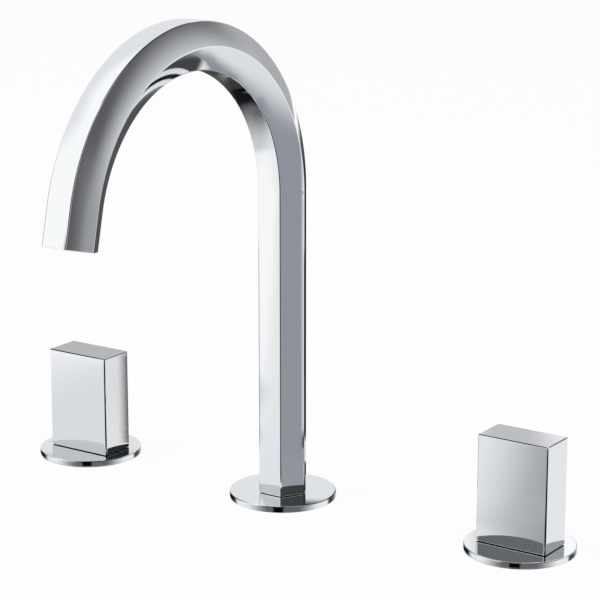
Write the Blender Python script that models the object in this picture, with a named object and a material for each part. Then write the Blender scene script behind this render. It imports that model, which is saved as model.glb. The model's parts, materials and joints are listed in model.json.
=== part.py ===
"""Three-hole basin faucet: a six-sided gooseneck spout and two quarter-turn block handles.

Lengths are metres and +Z is up. The origin is on the spout's axis at deck level: everything above
Z = 0 stands on the deck, everything below it hangs through the deck's three holes. +X runs from the
spout to the cold handle, and the spout reaches towards -Y.
"""

import math

import bmesh
import bpy
from mathutils import Matrix, Vector

# Fits and faceting
FIT_GAP = 0.0003          # between two pieces that touch
SPLINE_GAP = 0.0002       # between the splines of the stem and its adapter
OVERRUN = 0.002           # how far a cutter reaches past what it cuts
MERGE_DISTANCE = 0.000001
SMOOTH_ANGLE = math.radians(32.0)
FLANGE_SEGMENTS = 32
ROUND_SEGMENTS = 16
HEX_SEGMENTS = 18         # of a bore that meets a hexagon, a multiple of its six sides
STEM_SEGMENTS = 16
SCREW_SEGMENTS = 12
O_RING_SIDES = 6

# Layout on the deck
HOT_X = -0.121
COLD_X = 0.132
DECK_THICKNESS = 0.020    # the deck that the clamps are drawn closed on

# Flanges, all three alike outside
FLANGE_RADIUS = 0.026
FLANGE_THICKNESS = 0.0032
FLANGE_EDGE = 0.0004
RIM_LAND = 0.002          # the ring that meets the deck, outside the gasket
RECESS_DEPTH = 0.0014     # the pocket under the flange that holds the gasket
GASKET_WIDTH = 0.003

# Spout tube
HEX_ACROSS_FLATS = 0.0222
HEX_EDGE = 0.0006
ARC_RADIUS = 0.077
ARC_CENTRE_HEIGHT = 0.153
ARC_TURN = math.radians(167.0)
ARC_STEPS = 24
TAIL_ABOVE_AERATOR = 0.0069
SOCKET_WALL = 0.003       # at the foot, between the shank's socket and a flat
WATERWAY_WALL = 0.0046
OUTLET_WALL = 0.00255

# Aerator, from the outlet's rim upwards
AERATOR_SINK = 0.0008
AERATOR_HEIGHT = 0.0075
AERATOR_WALL = 0.00125
AERATOR_LIP_HEIGHT = 0.0008
AERATOR_LIP_WIDTH = 0.0006
AERATOR_KEY_WIDTH = 0.0018
AERATOR_KEY_DEPTH = 0.0005
GRILLE_HEIGHT = 0.002
GRILLE_PITCH_SHARE = 0.385
GRILLE_HOLE_SHARE = 0.175
GRILLE_RINGS = 2
SCREEN_THICKNESS = 0.0006
SCREEN_CROWN = 0.0016
SCREEN_SHOULDER_SHARE = 0.62
AERATOR_GASKET_HEIGHT = 0.0012
AERATOR_GASKET_WIDTH = 0.0024

# Spout shank and its tee
SPIGOT_LENGTH = 0.013
SHANK_SHOULDER = 0.0024
SHANK_WALL = 0.0028
SHANK_CHAMFER = 0.0008
SHANK_GROOVE_DEPTH = 0.0015
SHANK_GROOVE_SHARE = 0.7  # how far up the spigot its groove lies
TEE_CLEARANCE = 0.004
TEE_SOCKET_DEPTH = 0.011
TEE_WALL = 0.0025
TEE_WASHER_HEIGHT = 0.002
TEE_WASHER_WIDTH = 0.0046
TEE_WAIST = 0.003
TEE_WEB = 0.0012          # above and below the arms

# Hose ports, on the tee and on the valve bodies
PORT_RADIUS = 0.0071
PORT_WALL = 0.0026
PORT_REACH = 0.013        # beyond the body that carries the port
PORT_CHAMFER = 0.0008

# Clamps under the deck
RUBBER_WASHER_HEIGHT = 0.003
STEEL_WASHER_HEIGHT = 0.0015
WASHER_WIDTH = 0.007
LOCK_NUT_HEIGHT = 0.006
LOCK_NUT_WIDTH = 0.0045   # from the thread to a flat
NUT_CHAMFER = 0.0011

# Handle
BLOCK_WIDTH = 0.036
BLOCK_DEPTH = 0.019
BLOCK_HEIGHT = 0.0511
BLOCK_LIFT = 0.0004       # the shadow gap between flange and block
BLOCK_EDGE = 0.0005
ADAPTER_WALL = 0.002
ADAPTER_HEIGHT = 0.018
ADAPTER_CROWN = 0.003
ADAPTER_GROOVE_DEPTH = 0.0008
ADAPTER_SCREW_RADIUS = 0.0017
ADAPTER_SCREW_LENGTH = 0.0115
ADAPTER_SCREW_HEAD_RADIUS = 0.0034
ADAPTER_SCREW_HEAD_HEIGHT = 0.0024
ADAPTER_KEY_DEPTH_SHARE = 0.62
ADAPTER_KEY_RADIUS_SHARE = 0.5
GRUB_RADIUS = 0.002
GRUB_HEIGHT = 0.009       # of its axis above the block's foot
GRUB_SINK = 0.0003
GRUB_POINT = 0.0006
GRUB_KEY_DEPTH_SHARE = 0.5
GRUB_KEY_RADIUS_SHARE = 0.62

# Glide bush between stem and flange
BUSH_WALL = 0.0025
BUSH_LIP_WIDTH = 0.0018
BUSH_SEAT_DEPTH = 0.001

# Cartridge stem
STEM_RADIUS = 0.004
SPLINE_DEPTH = 0.0006
SPLINE_TEETH = 16
SPLINE_END_CHAMFER = 0.0005
STEM_GROOVE_DEPTH = 0.0012
STEM_COLLAR_WIDTH = 0.0025
STEM_COLLAR_HEIGHT = 0.0025
STEM_LEG_HEIGHT = 0.0091  # from the collar down to the moving disc
DOG_WIDTH = 0.003
DOG_HEIGHT = 0.004
DOG_END_GAP = 0.0009

# Ceramic discs and seat
DISC_RADIUS = 0.0074
MOVING_DISC_GAP = 0.0003
DISC_HEIGHT = 0.0035
DISC_SLOT_DEPTH = 0.0015
DISC_HUB_SHARE = 0.3
DISC_RIM_SHARE = 0.84
DISC_PORT_ANGLE = math.radians(78.0)
DISC_PORT_STEPS = 5
SEAL_WIDTH = 0.0018
SEAL_HEIGHT = 0.0027
SEAT_RIM = 0.0012

# Cartridge body, its nut, and the valve body around them
CARTRIDGE_WALL = 0.002
CARTRIDGE_HEAD_HEIGHT = 0.006
CARTRIDGE_GROOVE_DEPTH = 0.0012
CARTRIDGE_GROOVE_SHARE = 0.5
WINDOW_WIDTH_SHARE = 0.65
WINDOW_HEIGHT_SHARE = 0.75
CARTRIDGE_NUT_HEIGHT = 0.0056
CARTRIDGE_NUT_LEDGE = 0.0023
CARTRIDGE_NUT_KEY_DEPTH = 0.0035
CARTRIDGE_NUT_KEY_WIDTH = 0.0032
CHAMBER_WIDTH = 0.0015
BODY_WALL = 0.0017
BODY_FLOOR = 0.003
OUTLET_CLEARANCE = 0.0013
WRENCH_HEIGHT = 0.005
WRENCH_WIDTH = 0.0018     # from the inlet's thread to a flat of the hexagon
INLET_RADIUS = 0.0102
INLET_LENGTH = 0.013
INLET_CHAMFER = 0.0008
SKIRT_WALL = 0.0017
SKIRT_DEPTH = 0.005

# Finishes: base colour, roughness, metallic
FINISHES = {
    "polished_chrome": ((0.80, 0.81, 0.83, 1.0), 0.04, 1.0),
    "machined_brass": ((0.72, 0.55, 0.26, 1.0), 0.28, 1.0),
    "stainless_steel": ((0.56, 0.57, 0.58, 1.0), 0.30, 1.0),
    "black_rubber": ((0.02, 0.02, 0.02, 1.0), 0.75, 0.0),
    "white_nylon": ((0.86, 0.86, 0.83, 1.0), 0.45, 0.0),
    "black_acetal": ((0.025, 0.025, 0.027, 1.0), 0.35, 0.0),
    "white_ceramic": ((0.90, 0.89, 0.86, 1.0), 0.15, 0.0),
    "grey_ceramic": ((0.36, 0.37, 0.39, 1.0), 0.15, 0.0),
}

# Sizes that follow from the ones above
FLANGE_TOP = FLANGE_THICKNESS
LAND_INNER_RADIUS = FLANGE_RADIUS - RIM_LAND
GASKET_RADIUS = LAND_INNER_RADIUS - FIT_GAP
GASKET_HEIGHT = RECESS_DEPTH - FIT_GAP
BODY_TOP = RECESS_DEPTH - FIT_GAP

HEX_APOTHEM = HEX_ACROSS_FLATS / 2
TUBE_FOOT = FLANGE_TOP + FIT_GAP
FOOT_SOCKET_RADIUS = HEX_APOTHEM - SOCKET_WALL
WATERWAY_RADIUS = HEX_APOTHEM - WATERWAY_WALL
OUTLET_SOCKET_RADIUS = HEX_APOTHEM - OUTLET_WALL
OUTLET_SOCKET_DEPTH = AERATOR_SINK + AERATOR_HEIGHT + FIT_GAP + AERATOR_GASKET_HEIGHT + FIT_GAP
TAIL_LENGTH = OUTLET_SOCKET_DEPTH + TAIL_ABOVE_AERATOR

SPIGOT_RADIUS = FOOT_SOCKET_RADIUS - FIT_GAP
SHANK_RADIUS = SPIGOT_RADIUS + SHANK_SHOULDER
SHANK_BORE_RADIUS = SPIGOT_RADIUS - SHANK_WALL

STACK_TOP = -DECK_THICKNESS
STEEL_WASHER_TOP = STACK_TOP - RUBBER_WASHER_HEIGHT - FIT_GAP
LOCK_NUT_TOP = STEEL_WASHER_TOP - STEEL_WASHER_HEIGHT - FIT_GAP
STACK_BOTTOM = LOCK_NUT_TOP - LOCK_NUT_HEIGHT

TEE_TOP = STACK_BOTTOM - TEE_CLEARANCE
SHANK_BOTTOM = TEE_TOP - TEE_SOCKET_DEPTH
TEE_FLOOR = SHANK_BOTTOM - FIT_GAP - TEE_WASHER_HEIGHT - FIT_GAP
TEE_PORT_Z = TEE_FLOOR - TEE_WEB - PORT_RADIUS
TEE_BOTTOM = TEE_PORT_Z - PORT_RADIUS - TEE_WEB
TEE_RADIUS = SHANK_RADIUS + FIT_GAP + TEE_WALL
PORT_BORE_RADIUS = PORT_RADIUS - PORT_WALL

BLOCK_FOOT = FLANGE_TOP + BLOCK_LIFT
ADAPTER_RADIUS = STEM_RADIUS + SPLINE_GAP + ADAPTER_WALL
HANDLE_SOCKET_RADIUS = ADAPTER_RADIUS + FIT_GAP
ADAPTER_TOP = BLOCK_FOOT + ADAPTER_HEIGHT
ADAPTER_CEILING = ADAPTER_TOP - ADAPTER_CROWN
STEM_TOP = ADAPTER_CEILING - FIT_GAP
SCREW_SEAT = ADAPTER_TOP + FIT_GAP
HANDLE_SOCKET_TOP = SCREW_SEAT + ADAPTER_SCREW_HEAD_HEIGHT + FIT_GAP
SCREW_HOLE_RADIUS = ADAPTER_SCREW_RADIUS + FIT_GAP
SCREW_HOLE_BOTTOM = SCREW_SEAT - ADAPTER_SCREW_LENGTH - FIT_GAP

BUSH_BORE_RADIUS = STEM_RADIUS + FIT_GAP
BUSH_RADIUS = BUSH_BORE_RADIUS + BUSH_WALL
BUSH_HOLE_RADIUS = BUSH_RADIUS + FIT_GAP
BUSH_LIP_RADIUS = BUSH_RADIUS + BUSH_LIP_WIDTH
BUSH_SEAT_RADIUS = BUSH_LIP_RADIUS + FIT_GAP
BUSH_SEAT = FLANGE_TOP - BUSH_SEAT_DEPTH

CAVITY_RADIUS = DISC_RADIUS + FIT_GAP
CARTRIDGE_RADIUS = CAVITY_RADIUS + CARTRIDGE_WALL
REGISTER_RADIUS = CARTRIDGE_RADIUS + FIT_GAP
CARTRIDGE_NUT_RADIUS = CARTRIDGE_RADIUS + CARTRIDGE_NUT_LEDGE
NUT_POCKET_RADIUS = CARTRIDGE_NUT_RADIUS + FIT_GAP
BODY_RADIUS = NUT_POCKET_RADIUS + BODY_WALL
CHAMBER_RADIUS = CARTRIDGE_RADIUS + CHAMBER_WIDTH
INLET_BORE_RADIUS = DISC_RADIUS - SEAL_WIDTH
SEAT_TUBE_RADIUS = DISC_RADIUS + SEAT_RIM
SKIRT_BORE_RADIUS = BODY_RADIUS + FIT_GAP
SKIRT_RADIUS = SKIRT_BORE_RADIUS + SKIRT_WALL

CARTRIDGE_NUT_TOP = BODY_TOP - FIT_GAP
CARTRIDGE_NUT_FOOT = CARTRIDGE_NUT_TOP - CARTRIDGE_NUT_HEIGHT
CARTRIDGE_TOP = CARTRIDGE_NUT_FOOT - FIT_GAP
CAVITY_CEILING = CARTRIDGE_TOP - CARTRIDGE_HEAD_HEIGHT
COLLAR_TOP = CAVITY_CEILING - FIT_GAP
COLLAR_FOOT = COLLAR_TOP - STEM_COLLAR_HEIGHT
MOVING_DISC_TOP = COLLAR_FOOT - STEM_LEG_HEIGHT
MOVING_DISC_FOOT = MOVING_DISC_TOP - DISC_HEIGHT
DOG_FOOT = MOVING_DISC_TOP - DISC_SLOT_DEPTH + FIT_GAP
FIXED_DISC_TOP = MOVING_DISC_FOOT - FIT_GAP
FIXED_DISC_FOOT = FIXED_DISC_TOP - DISC_HEIGHT
SEAL_TOP = FIXED_DISC_FOOT - FIT_GAP
SEAL_FOOT = SEAL_TOP - SEAL_HEIGHT
SEAT_Z = SEAL_FOOT - FIT_GAP
OUTLET_Z = min(STACK_BOTTOM, SEAT_Z) - OUTLET_CLEARANCE - PORT_RADIUS
CHAMBER_FLOOR = OUTLET_Z - PORT_RADIUS
BODY_BOTTOM = CHAMBER_FLOOR - BODY_FLOOR
WRENCH_BOTTOM = BODY_BOTTOM - WRENCH_HEIGHT
INLET_BOTTOM = WRENCH_BOTTOM - INLET_LENGTH


# Helpers

def clear_scene():
    """Remove every object, so that the script can be run again in the same file."""
    for thing in list(bpy.data.objects):
        bpy.data.objects.remove(thing)


def finish(name):
    """Return the named finish as a Principled material, made once."""
    material = bpy.data.materials.get(name)
    if material is None:
        colour, roughness, metallic = FINISHES[name]
        material = bpy.data.materials.new(name)
        material.use_nodes = True
        shader = material.node_tree.nodes["Principled BSDF"]
        shader.inputs["Base Color"].default_value = colour
        shader.inputs["Roughness"].default_value = roughness
        shader.inputs["Metallic"].default_value = metallic
    return material


def place(name, mesh, finish_name=None, parent=None):
    """Link a bmesh as an object; without a finish it is a cutter, hidden from the render."""
    data = bpy.data.meshes.new(name)
    bmesh.ops.recalc_face_normals(mesh, faces=mesh.faces)
    mesh.to_mesh(data)
    mesh.free()
    data.shade_smooth()
    data.set_sharp_from_angle(angle=SMOOTH_ANGLE)
    thing = bpy.data.objects.new(name, data)
    bpy.context.scene.collection.objects.link(thing)
    thing.parent = parent
    if finish_name is None:
        thing.hide_render = True
        thing.display_type = "WIRE"
    else:
        data.materials.append(finish(finish_name))
    return thing


def empty_at(name, x, parent=None):
    """Put an empty at deck level, on the X axis of its parent or of the faucet."""
    empty = bpy.data.objects.new(name, None)
    bpy.context.scene.collection.objects.link(empty)
    empty.parent = parent
    empty.location = (x, 0.0, 0.0)
    return empty


def combine(thing, operation, other, solver="EXACT"):
    """Leave a live Boolean on a piece; its cutter rides with the piece's parent."""
    modifier = thing.modifiers.new(other.name, "BOOLEAN")
    modifier.operation = operation
    modifier.solver = solver
    modifier.object = other


def circle(radius, height, count=ROUND_SEGMENTS, start=0.0):
    """Points of a level circle."""
    angles = [start + 2 * math.pi * step / count for step in range(count)]
    return [Vector((radius * math.cos(a), radius * math.sin(a), height)) for a in angles]


def hexagon(apothem, height):
    """Points of a level hexagon with corners on the X axis."""
    return circle(apothem / math.cos(math.pi / 6), height, 6)


def splines(tip_radius, height):
    """Points of a level ring of pointed splines, tip and root in turn."""
    count = 2 * SPLINE_TEETH
    ring = circle(tip_radius, height, count)
    root_radius = tip_radius - SPLINE_DEPTH
    for step in range(1, count, 2):
        ring[step] = ring[step] * (root_radius / tip_radius)
        ring[step].z = height
    return ring


def skin(mesh, lower, upper):
    """Join two rings of vertices, the second with as many or a whole multiple of the first's."""
    if len(lower) > len(upper):
        lower, upper = upper, lower
    ratio = len(upper) // len(lower)
    for index, corner in enumerate(lower):
        following = lower[(index + 1) % len(lower)]
        fan = [upper[(index * ratio + step) % len(upper)] for step in range(ratio + 1)]
        if ratio == 1:
            mesh.faces.new((corner, following, fan[1], fan[0]))
            continue
        for first, second in zip(fan, fan[1:]):
            mesh.faces.new((corner, first, second))
        mesh.faces.new((corner, fan[-1], following))


def lofted(rings, closed=False):
    """Skin ring after ring; a closed loft joins the last to the first, an open one is capped."""
    mesh = bmesh.new()
    loops = [[mesh.verts.new(point) for point in ring] for ring in rings]
    for lower, upper in zip(loops, loops[1:]):
        skin(mesh, lower, upper)
    if closed:
        skin(mesh, loops[-1], loops[0])
    else:
        mesh.faces.new(loops[0])
        mesh.faces.new(loops[-1])
    return mesh


def turned(profile, segments=ROUND_SEGMENTS):
    """Spin a closed outline of (radius, height) points round the Z axis."""
    mesh = bmesh.new()
    verts = [mesh.verts.new((radius, 0.0, height)) for radius, height in profile]
    pairs = list(zip(verts, verts[1:] + verts[:1]))
    on_axis = [radius == 0 for radius, _ in profile]
    if on_axis[0] and on_axis[-1]:
        pairs.pop()
    edges = [mesh.edges.new(pair) for pair in pairs]
    bmesh.ops.spin(mesh, geom=verts + edges, axis=(0, 0, 1), cent=(0, 0, 0),
                   angle=2 * math.pi, steps=segments, use_duplicate=False)
    bmesh.ops.remove_doubles(mesh, verts=mesh.verts, dist=MERGE_DISTANCE)
    return mesh


def washer(inner_radius, outer_radius, foot, top, segments=ROUND_SEGMENTS):
    """A flat ring."""
    return turned([(inner_radius, foot), (outer_radius, foot), (outer_radius, top), (inner_radius, top)],
                  segments)


def o_ring(inner_radius, outer_radius, height):
    """A ring of round section between two radii, centred on a height."""
    section = (outer_radius - inner_radius) / 2
    middle = (outer_radius + inner_radius) / 2
    outline = [(middle + section * math.cos(2 * math.pi * side / O_RING_SIDES),
                height + section * math.sin(2 * math.pi * side / O_RING_SIDES))
               for side in range(O_RING_SIDES)]
    return turned(outline)


def box(low, high):
    """A box between two corners."""
    size = Vector(high) - Vector(low)
    middle = (Vector(high) + Vector(low)) / 2
    mesh = bmesh.new()
    bmesh.ops.create_cube(mesh, size=1.0, matrix=Matrix.Translation(middle) @ Matrix.Diagonal((*size, 1)))
    return mesh


def rod(radius, start, end, direction, height, segments=ROUND_SEGMENTS):
    """A level round bar along a unit direction, from start to end, at a height."""
    mesh = lofted([circle(radius, start, segments), circle(radius, end, segments)])
    turn = Vector((0.0, 0.0, 1.0)).rotation_difference(Vector(direction)).to_matrix().to_4x4()
    bmesh.ops.transform(mesh, matrix=Matrix.Translation((0.0, 0.0, height)) @ turn, verts=mesh.verts)
    return mesh


# Spout

def hexagon_section():
    """Corners of the tube's section as (side, outward) pairs, each corner cut by a small flat."""
    corner_radius = HEX_APOTHEM / math.cos(math.pi / 6)
    setback = HEX_EDGE / (2 * math.sin(math.pi / 3))
    angles = [math.pi * index / 3 for index in range(6)]
    corners = [Vector((corner_radius * math.cos(a), corner_radius * math.sin(a))) for a in angles]
    points = []
    for index, corner in enumerate(corners):
        before, after = corners[index - 1], corners[(index + 1) % 6]
        points.append(corner + (before - corner).normalized() * setback)
        points.append(corner + (after - corner).normalized() * setback)
    return points


def bore_section(radius, count):
    """Points of a round bore as (side, outward) pairs, started so that they face the hexagon's."""
    start = -math.pi / 12
    return [Vector((radius * math.cos(start + 2 * math.pi * step / count),
                    radius * math.sin(start + 2 * math.pi * step / count))) for step in range(count)]


def spout_frame(turn, beyond=0.0):
    """The tube's centre and outward direction where its bend has turned so far."""
    outward = Vector((0.0, math.cos(turn), math.sin(turn)))
    along = Vector((0.0, -math.sin(turn), math.cos(turn)))
    centre = Vector((0.0, -ARC_RADIUS, ARC_CENTRE_HEIGHT)) + outward * ARC_RADIUS + along * beyond
    return centre, outward


def ring_at(section, turn, beyond=0.0):
    """Place a section on the spout's path; the riser and the tail lie beyond the bend's two ends."""
    centre, outward = spout_frame(turn, beyond)
    return [centre + Vector((point.x, 0.0, 0.0)) + outward * point.y for point in section]


def spout_tube():
    """The six-sided gooseneck: riser, bend and tail in one, with a stepped round waterway."""
    outside = hexagon_section()
    waterway = bore_section(WATERWAY_RADIUS, len(outside))
    foot_socket = bore_section(FOOT_SOCKET_RADIUS, 2 * len(outside))
    outlet_socket = bore_section(OUTLET_SOCKET_RADIUS, 2 * len(outside))
    foot = TUBE_FOOT - ARC_CENTRE_HEIGHT
    socket_top = foot + SPIGOT_LENGTH + FIT_GAP
    turns = [ARC_TURN * step / ARC_STEPS for step in range(ARC_STEPS + 1)]
    rings = [ring_at(outside, 0.0, foot)]
    rings += [ring_at(outside, turn) for turn in turns]
    rings.append(ring_at(outside, ARC_TURN, TAIL_LENGTH))
    rings.append(ring_at(outlet_socket, ARC_TURN, TAIL_LENGTH))
    rings.append(ring_at(outlet_socket, ARC_TURN, TAIL_ABOVE_AERATOR))
    rings.append(ring_at(waterway, ARC_TURN, TAIL_ABOVE_AERATOR))
    rings += [ring_at(waterway, turn) for turn in reversed(turns)]
    rings.append(ring_at(waterway, 0.0, socket_top))
    rings.append(ring_at(foot_socket, 0.0, socket_top))
    rings.append(ring_at(foot_socket, 0.0, foot))
    place("spout_tube", lofted(rings, closed=True), "polished_chrome")


def flange_gasket(name, parent=None):
    """The flat ring that seals a flange on the deck, just inside its rim."""
    ring = washer(GASKET_RADIUS - GASKET_WIDTH, GASKET_RADIUS, 0.0, GASKET_HEIGHT)
    place(name, ring, "black_rubber", parent)


def spout_flange():
    """The thin round flange, pocketed underneath for its gasket."""
    place("spout_flange", turned([
        (FLANGE_RADIUS, 0.0), (FLANGE_RADIUS, FLANGE_TOP - FLANGE_EDGE),
        (FLANGE_RADIUS - FLANGE_EDGE, FLANGE_TOP), (FOOT_SOCKET_RADIUS, FLANGE_TOP),
        (FOOT_SOCKET_RADIUS, RECESS_DEPTH), (LAND_INNER_RADIUS, RECESS_DEPTH),
        (LAND_INNER_RADIUS, 0.0)], FLANGE_SEGMENTS), "polished_chrome")
    flange_gasket("spout_flange_gasket")


def spout_shank():
    """The shank that screws into the tube's foot, clamps the flange and passes through the deck."""
    top = TUBE_FOOT + SPIGOT_LENGTH
    section = (SHANK_GROOVE_DEPTH - FIT_GAP) / 2
    groove_radius = SPIGOT_RADIUS - SHANK_GROOVE_DEPTH
    groove_z = TUBE_FOOT + SPIGOT_LENGTH * SHANK_GROOVE_SHARE
    groove_half = section + FIT_GAP
    place("spout_shank", turned([
        (SHANK_BORE_RADIUS, SHANK_BOTTOM), (SHANK_RADIUS - SHANK_CHAMFER, SHANK_BOTTOM),
        (SHANK_RADIUS, SHANK_BOTTOM + SHANK_CHAMFER), (SHANK_RADIUS, BODY_TOP),
        (SPIGOT_RADIUS, BODY_TOP), (SPIGOT_RADIUS, groove_z - groove_half),
        (groove_radius, groove_z - groove_half), (groove_radius, groove_z + groove_half),
        (SPIGOT_RADIUS, groove_z + groove_half), (SPIGOT_RADIUS, top - SHANK_CHAMFER),
        (SPIGOT_RADIUS - SHANK_CHAMFER, top), (SHANK_BORE_RADIUS, top)]), "machined_brass")
    place("shank_o_ring", o_ring(groove_radius + FIT_GAP, SPIGOT_RADIUS, groove_z), "black_rubber")


def hex_nut(name, thread_radius, parent=None):
    """A chamfered hexagon nut with its top face at the clamp's height."""
    apothem = thread_radius + LOCK_NUT_WIDTH
    corner = apothem / math.cos(math.pi / 6)
    bore = thread_radius + FIT_GAP
    nut = place(name, lofted([hexagon(apothem, STACK_BOTTOM), hexagon(apothem, LOCK_NUT_TOP),
                              circle(bore, LOCK_NUT_TOP, HEX_SEGMENTS),
                              circle(bore, STACK_BOTTOM, HEX_SEGMENTS)], closed=True),
                "machined_brass", parent)
    slope = math.tan(math.pi / 6)
    narrow = corner - NUT_CHAMFER - OVERRUN / slope
    wide = corner + NUT_CHAMFER
    rise = 2 * NUT_CHAMFER * slope
    rounding = place(name + "_rounding", turned([
        (0.0, STACK_BOTTOM - OVERRUN), (narrow, STACK_BOTTOM - OVERRUN), (wide, STACK_BOTTOM + rise),
        (wide, LOCK_NUT_TOP - rise), (narrow, LOCK_NUT_TOP + OVERRUN), (0.0, LOCK_NUT_TOP + OVERRUN)]),
        None, parent)
    combine(nut, "INTERSECT", rounding, "MANIFOLD")


def clamp(prefix, thread_radius, parent=None):
    """Rubber washer, steel washer and lock nut on a thread under the deck."""
    bore = thread_radius + FIT_GAP
    outer = bore + WASHER_WIDTH
    place(prefix + "_rubber_washer", washer(bore, outer, STACK_TOP - RUBBER_WASHER_HEIGHT, STACK_TOP),
          "black_rubber", parent)
    place(prefix + "_steel_washer", washer(bore, outer, STEEL_WASHER_TOP - STEEL_WASHER_HEIGHT,
                                           STEEL_WASHER_TOP), "stainless_steel", parent)
    hex_nut(prefix + "_lock_nut", thread_radius, parent)


def inlet_tee():
    """The tee on the shank's lower end, where the two valves' hoses meet."""
    reach = TEE_RADIUS + PORT_REACH
    waist_radius = TEE_RADIUS - TEE_WAIST
    socket_radius = SHANK_RADIUS + FIT_GAP
    tee = place("inlet_tee", turned([
        (0.0, TEE_BOTTOM), (waist_radius - PORT_CHAMFER, TEE_BOTTOM),
        (waist_radius, TEE_BOTTOM + PORT_CHAMFER), (waist_radius, TEE_FLOOR - TEE_WAIST),
        (TEE_RADIUS, TEE_FLOOR), (TEE_RADIUS, TEE_TOP), (socket_radius, TEE_TOP),
        (socket_radius, TEE_FLOOR), (0.0, TEE_FLOOR)]), "machined_brass")
    arms = lofted([circle(PORT_RADIUS - PORT_CHAMFER, -reach), circle(PORT_RADIUS, -reach + PORT_CHAMFER),
                   circle(PORT_RADIUS, reach - PORT_CHAMFER), circle(PORT_RADIUS - PORT_CHAMFER, reach)])
    bmesh.ops.transform(arms, verts=arms.verts, matrix=Matrix.Translation((0.0, 0.0, TEE_PORT_Z))
                        @ Matrix.Rotation(math.pi / 2, 4, "Y"))
    combine(tee, "UNION", place("inlet_tee_arms", arms))
    combine(tee, "DIFFERENCE", place("inlet_tee_cross_bore", rod(
        PORT_BORE_RADIUS, -reach - OVERRUN, reach + OVERRUN, (1, 0, 0), TEE_PORT_Z)))
    combine(tee, "DIFFERENCE", place("inlet_tee_down_bore", lofted([
        circle(SHANK_BORE_RADIUS, TEE_PORT_Z), circle(SHANK_BORE_RADIUS, TEE_FLOOR + OVERRUN)])))
    place("tee_washer", washer(SHANK_RADIUS - TEE_WASHER_WIDTH, SHANK_RADIUS,
                               TEE_FLOOR + FIT_GAP, TEE_FLOOR + FIT_GAP + TEE_WASHER_HEIGHT), "black_rubber")


def honeycomb(radius, foot, top):
    """A cutter of six-sided columns in rings round a middle one."""
    mesh = bmesh.new()
    pitch = radius * GRILLE_PITCH_SHARE
    size = radius * GRILLE_HOLE_SHARE
    for column in range(-GRILLE_RINGS, GRILLE_RINGS + 1):
        for row in range(-GRILLE_RINGS, GRILLE_RINGS + 1):
            if abs(column + row) > GRILLE_RINGS:
                continue
            middle = Vector((pitch * (column + row / 2), pitch * row * math.sin(math.pi / 3), 0.0))
            rings = [[mesh.verts.new(point + middle) for point in circle(size, height, 6, math.pi / 6)]
                     for height in (foot - OVERRUN, top + OVERRUN)]
            skin(mesh, *rings)
            mesh.faces.new(rings[0])
            mesh.faces.new(rings[1])
    return mesh


def aerator():
    """Housing, honeycomb grille, domed screen and gasket, stacked up into the outlet."""
    outlet = empty_at("outlet", 0.0)
    outlet.location = spout_frame(ARC_TURN, TAIL_LENGTH)[0]
    outlet.rotation_euler = (ARC_TURN, 0.0, 0.0)
    radius = OUTLET_SOCKET_RADIUS - FIT_GAP
    mouth = -AERATOR_SINK
    back = mouth - AERATOR_HEIGHT
    bore = radius - AERATOR_WALL
    lip = mouth - AERATOR_LIP_HEIGHT
    housing = place("aerator_housing", turned([
        (bore - AERATOR_LIP_WIDTH, mouth), (radius, mouth), (radius, back), (bore, back), (bore, lip),
        (bore - AERATOR_LIP_WIDTH, lip)]), "stainless_steel", outlet)
    keys = box((-radius - OVERRUN, -AERATOR_KEY_WIDTH / 2, mouth - AERATOR_KEY_DEPTH),
               (radius + OVERRUN, AERATOR_KEY_WIDTH / 2, mouth + OVERRUN))
    combine(housing, "DIFFERENCE", place("aerator_key_slots", keys, None, outlet))
    insert_radius = bore - FIT_GAP
    grille_mouth = lip - FIT_GAP
    grille_back = grille_mouth - GRILLE_HEIGHT
    grille = place("aerator_grille", turned([
        (0.0, grille_mouth), (insert_radius, grille_mouth), (insert_radius, grille_back),
        (0.0, grille_back)]), "white_nylon", outlet)
    holes = place("aerator_grille_holes", honeycomb(insert_radius, grille_back, grille_mouth), None, outlet)
    combine(grille, "DIFFERENCE", holes)
    rim = grille_back - FIT_GAP
    shoulder = insert_radius * SCREEN_SHOULDER_SHARE
    rise = SCREEN_CROWN * SCREEN_SHOULDER_SHARE
    place("aerator_screen", turned([
        (0.0, rim - SCREEN_CROWN), (shoulder, rim - rise), (insert_radius, rim),
        (insert_radius, rim - SCREEN_THICKNESS), (shoulder, rim - rise - SCREEN_THICKNESS),
        (0.0, rim - SCREEN_CROWN - SCREEN_THICKNESS)]), "stainless_steel", outlet)
    gasket_mouth = back - FIT_GAP
    gasket_back = gasket_mouth - AERATOR_GASKET_HEIGHT
    gasket = washer(radius - AERATOR_GASKET_WIDTH, radius, gasket_back, gasket_mouth)
    place("aerator_gasket", gasket, "black_rubber", outlet)


# Valve units, built round a Z axis at X = 0 and carried by an empty

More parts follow.
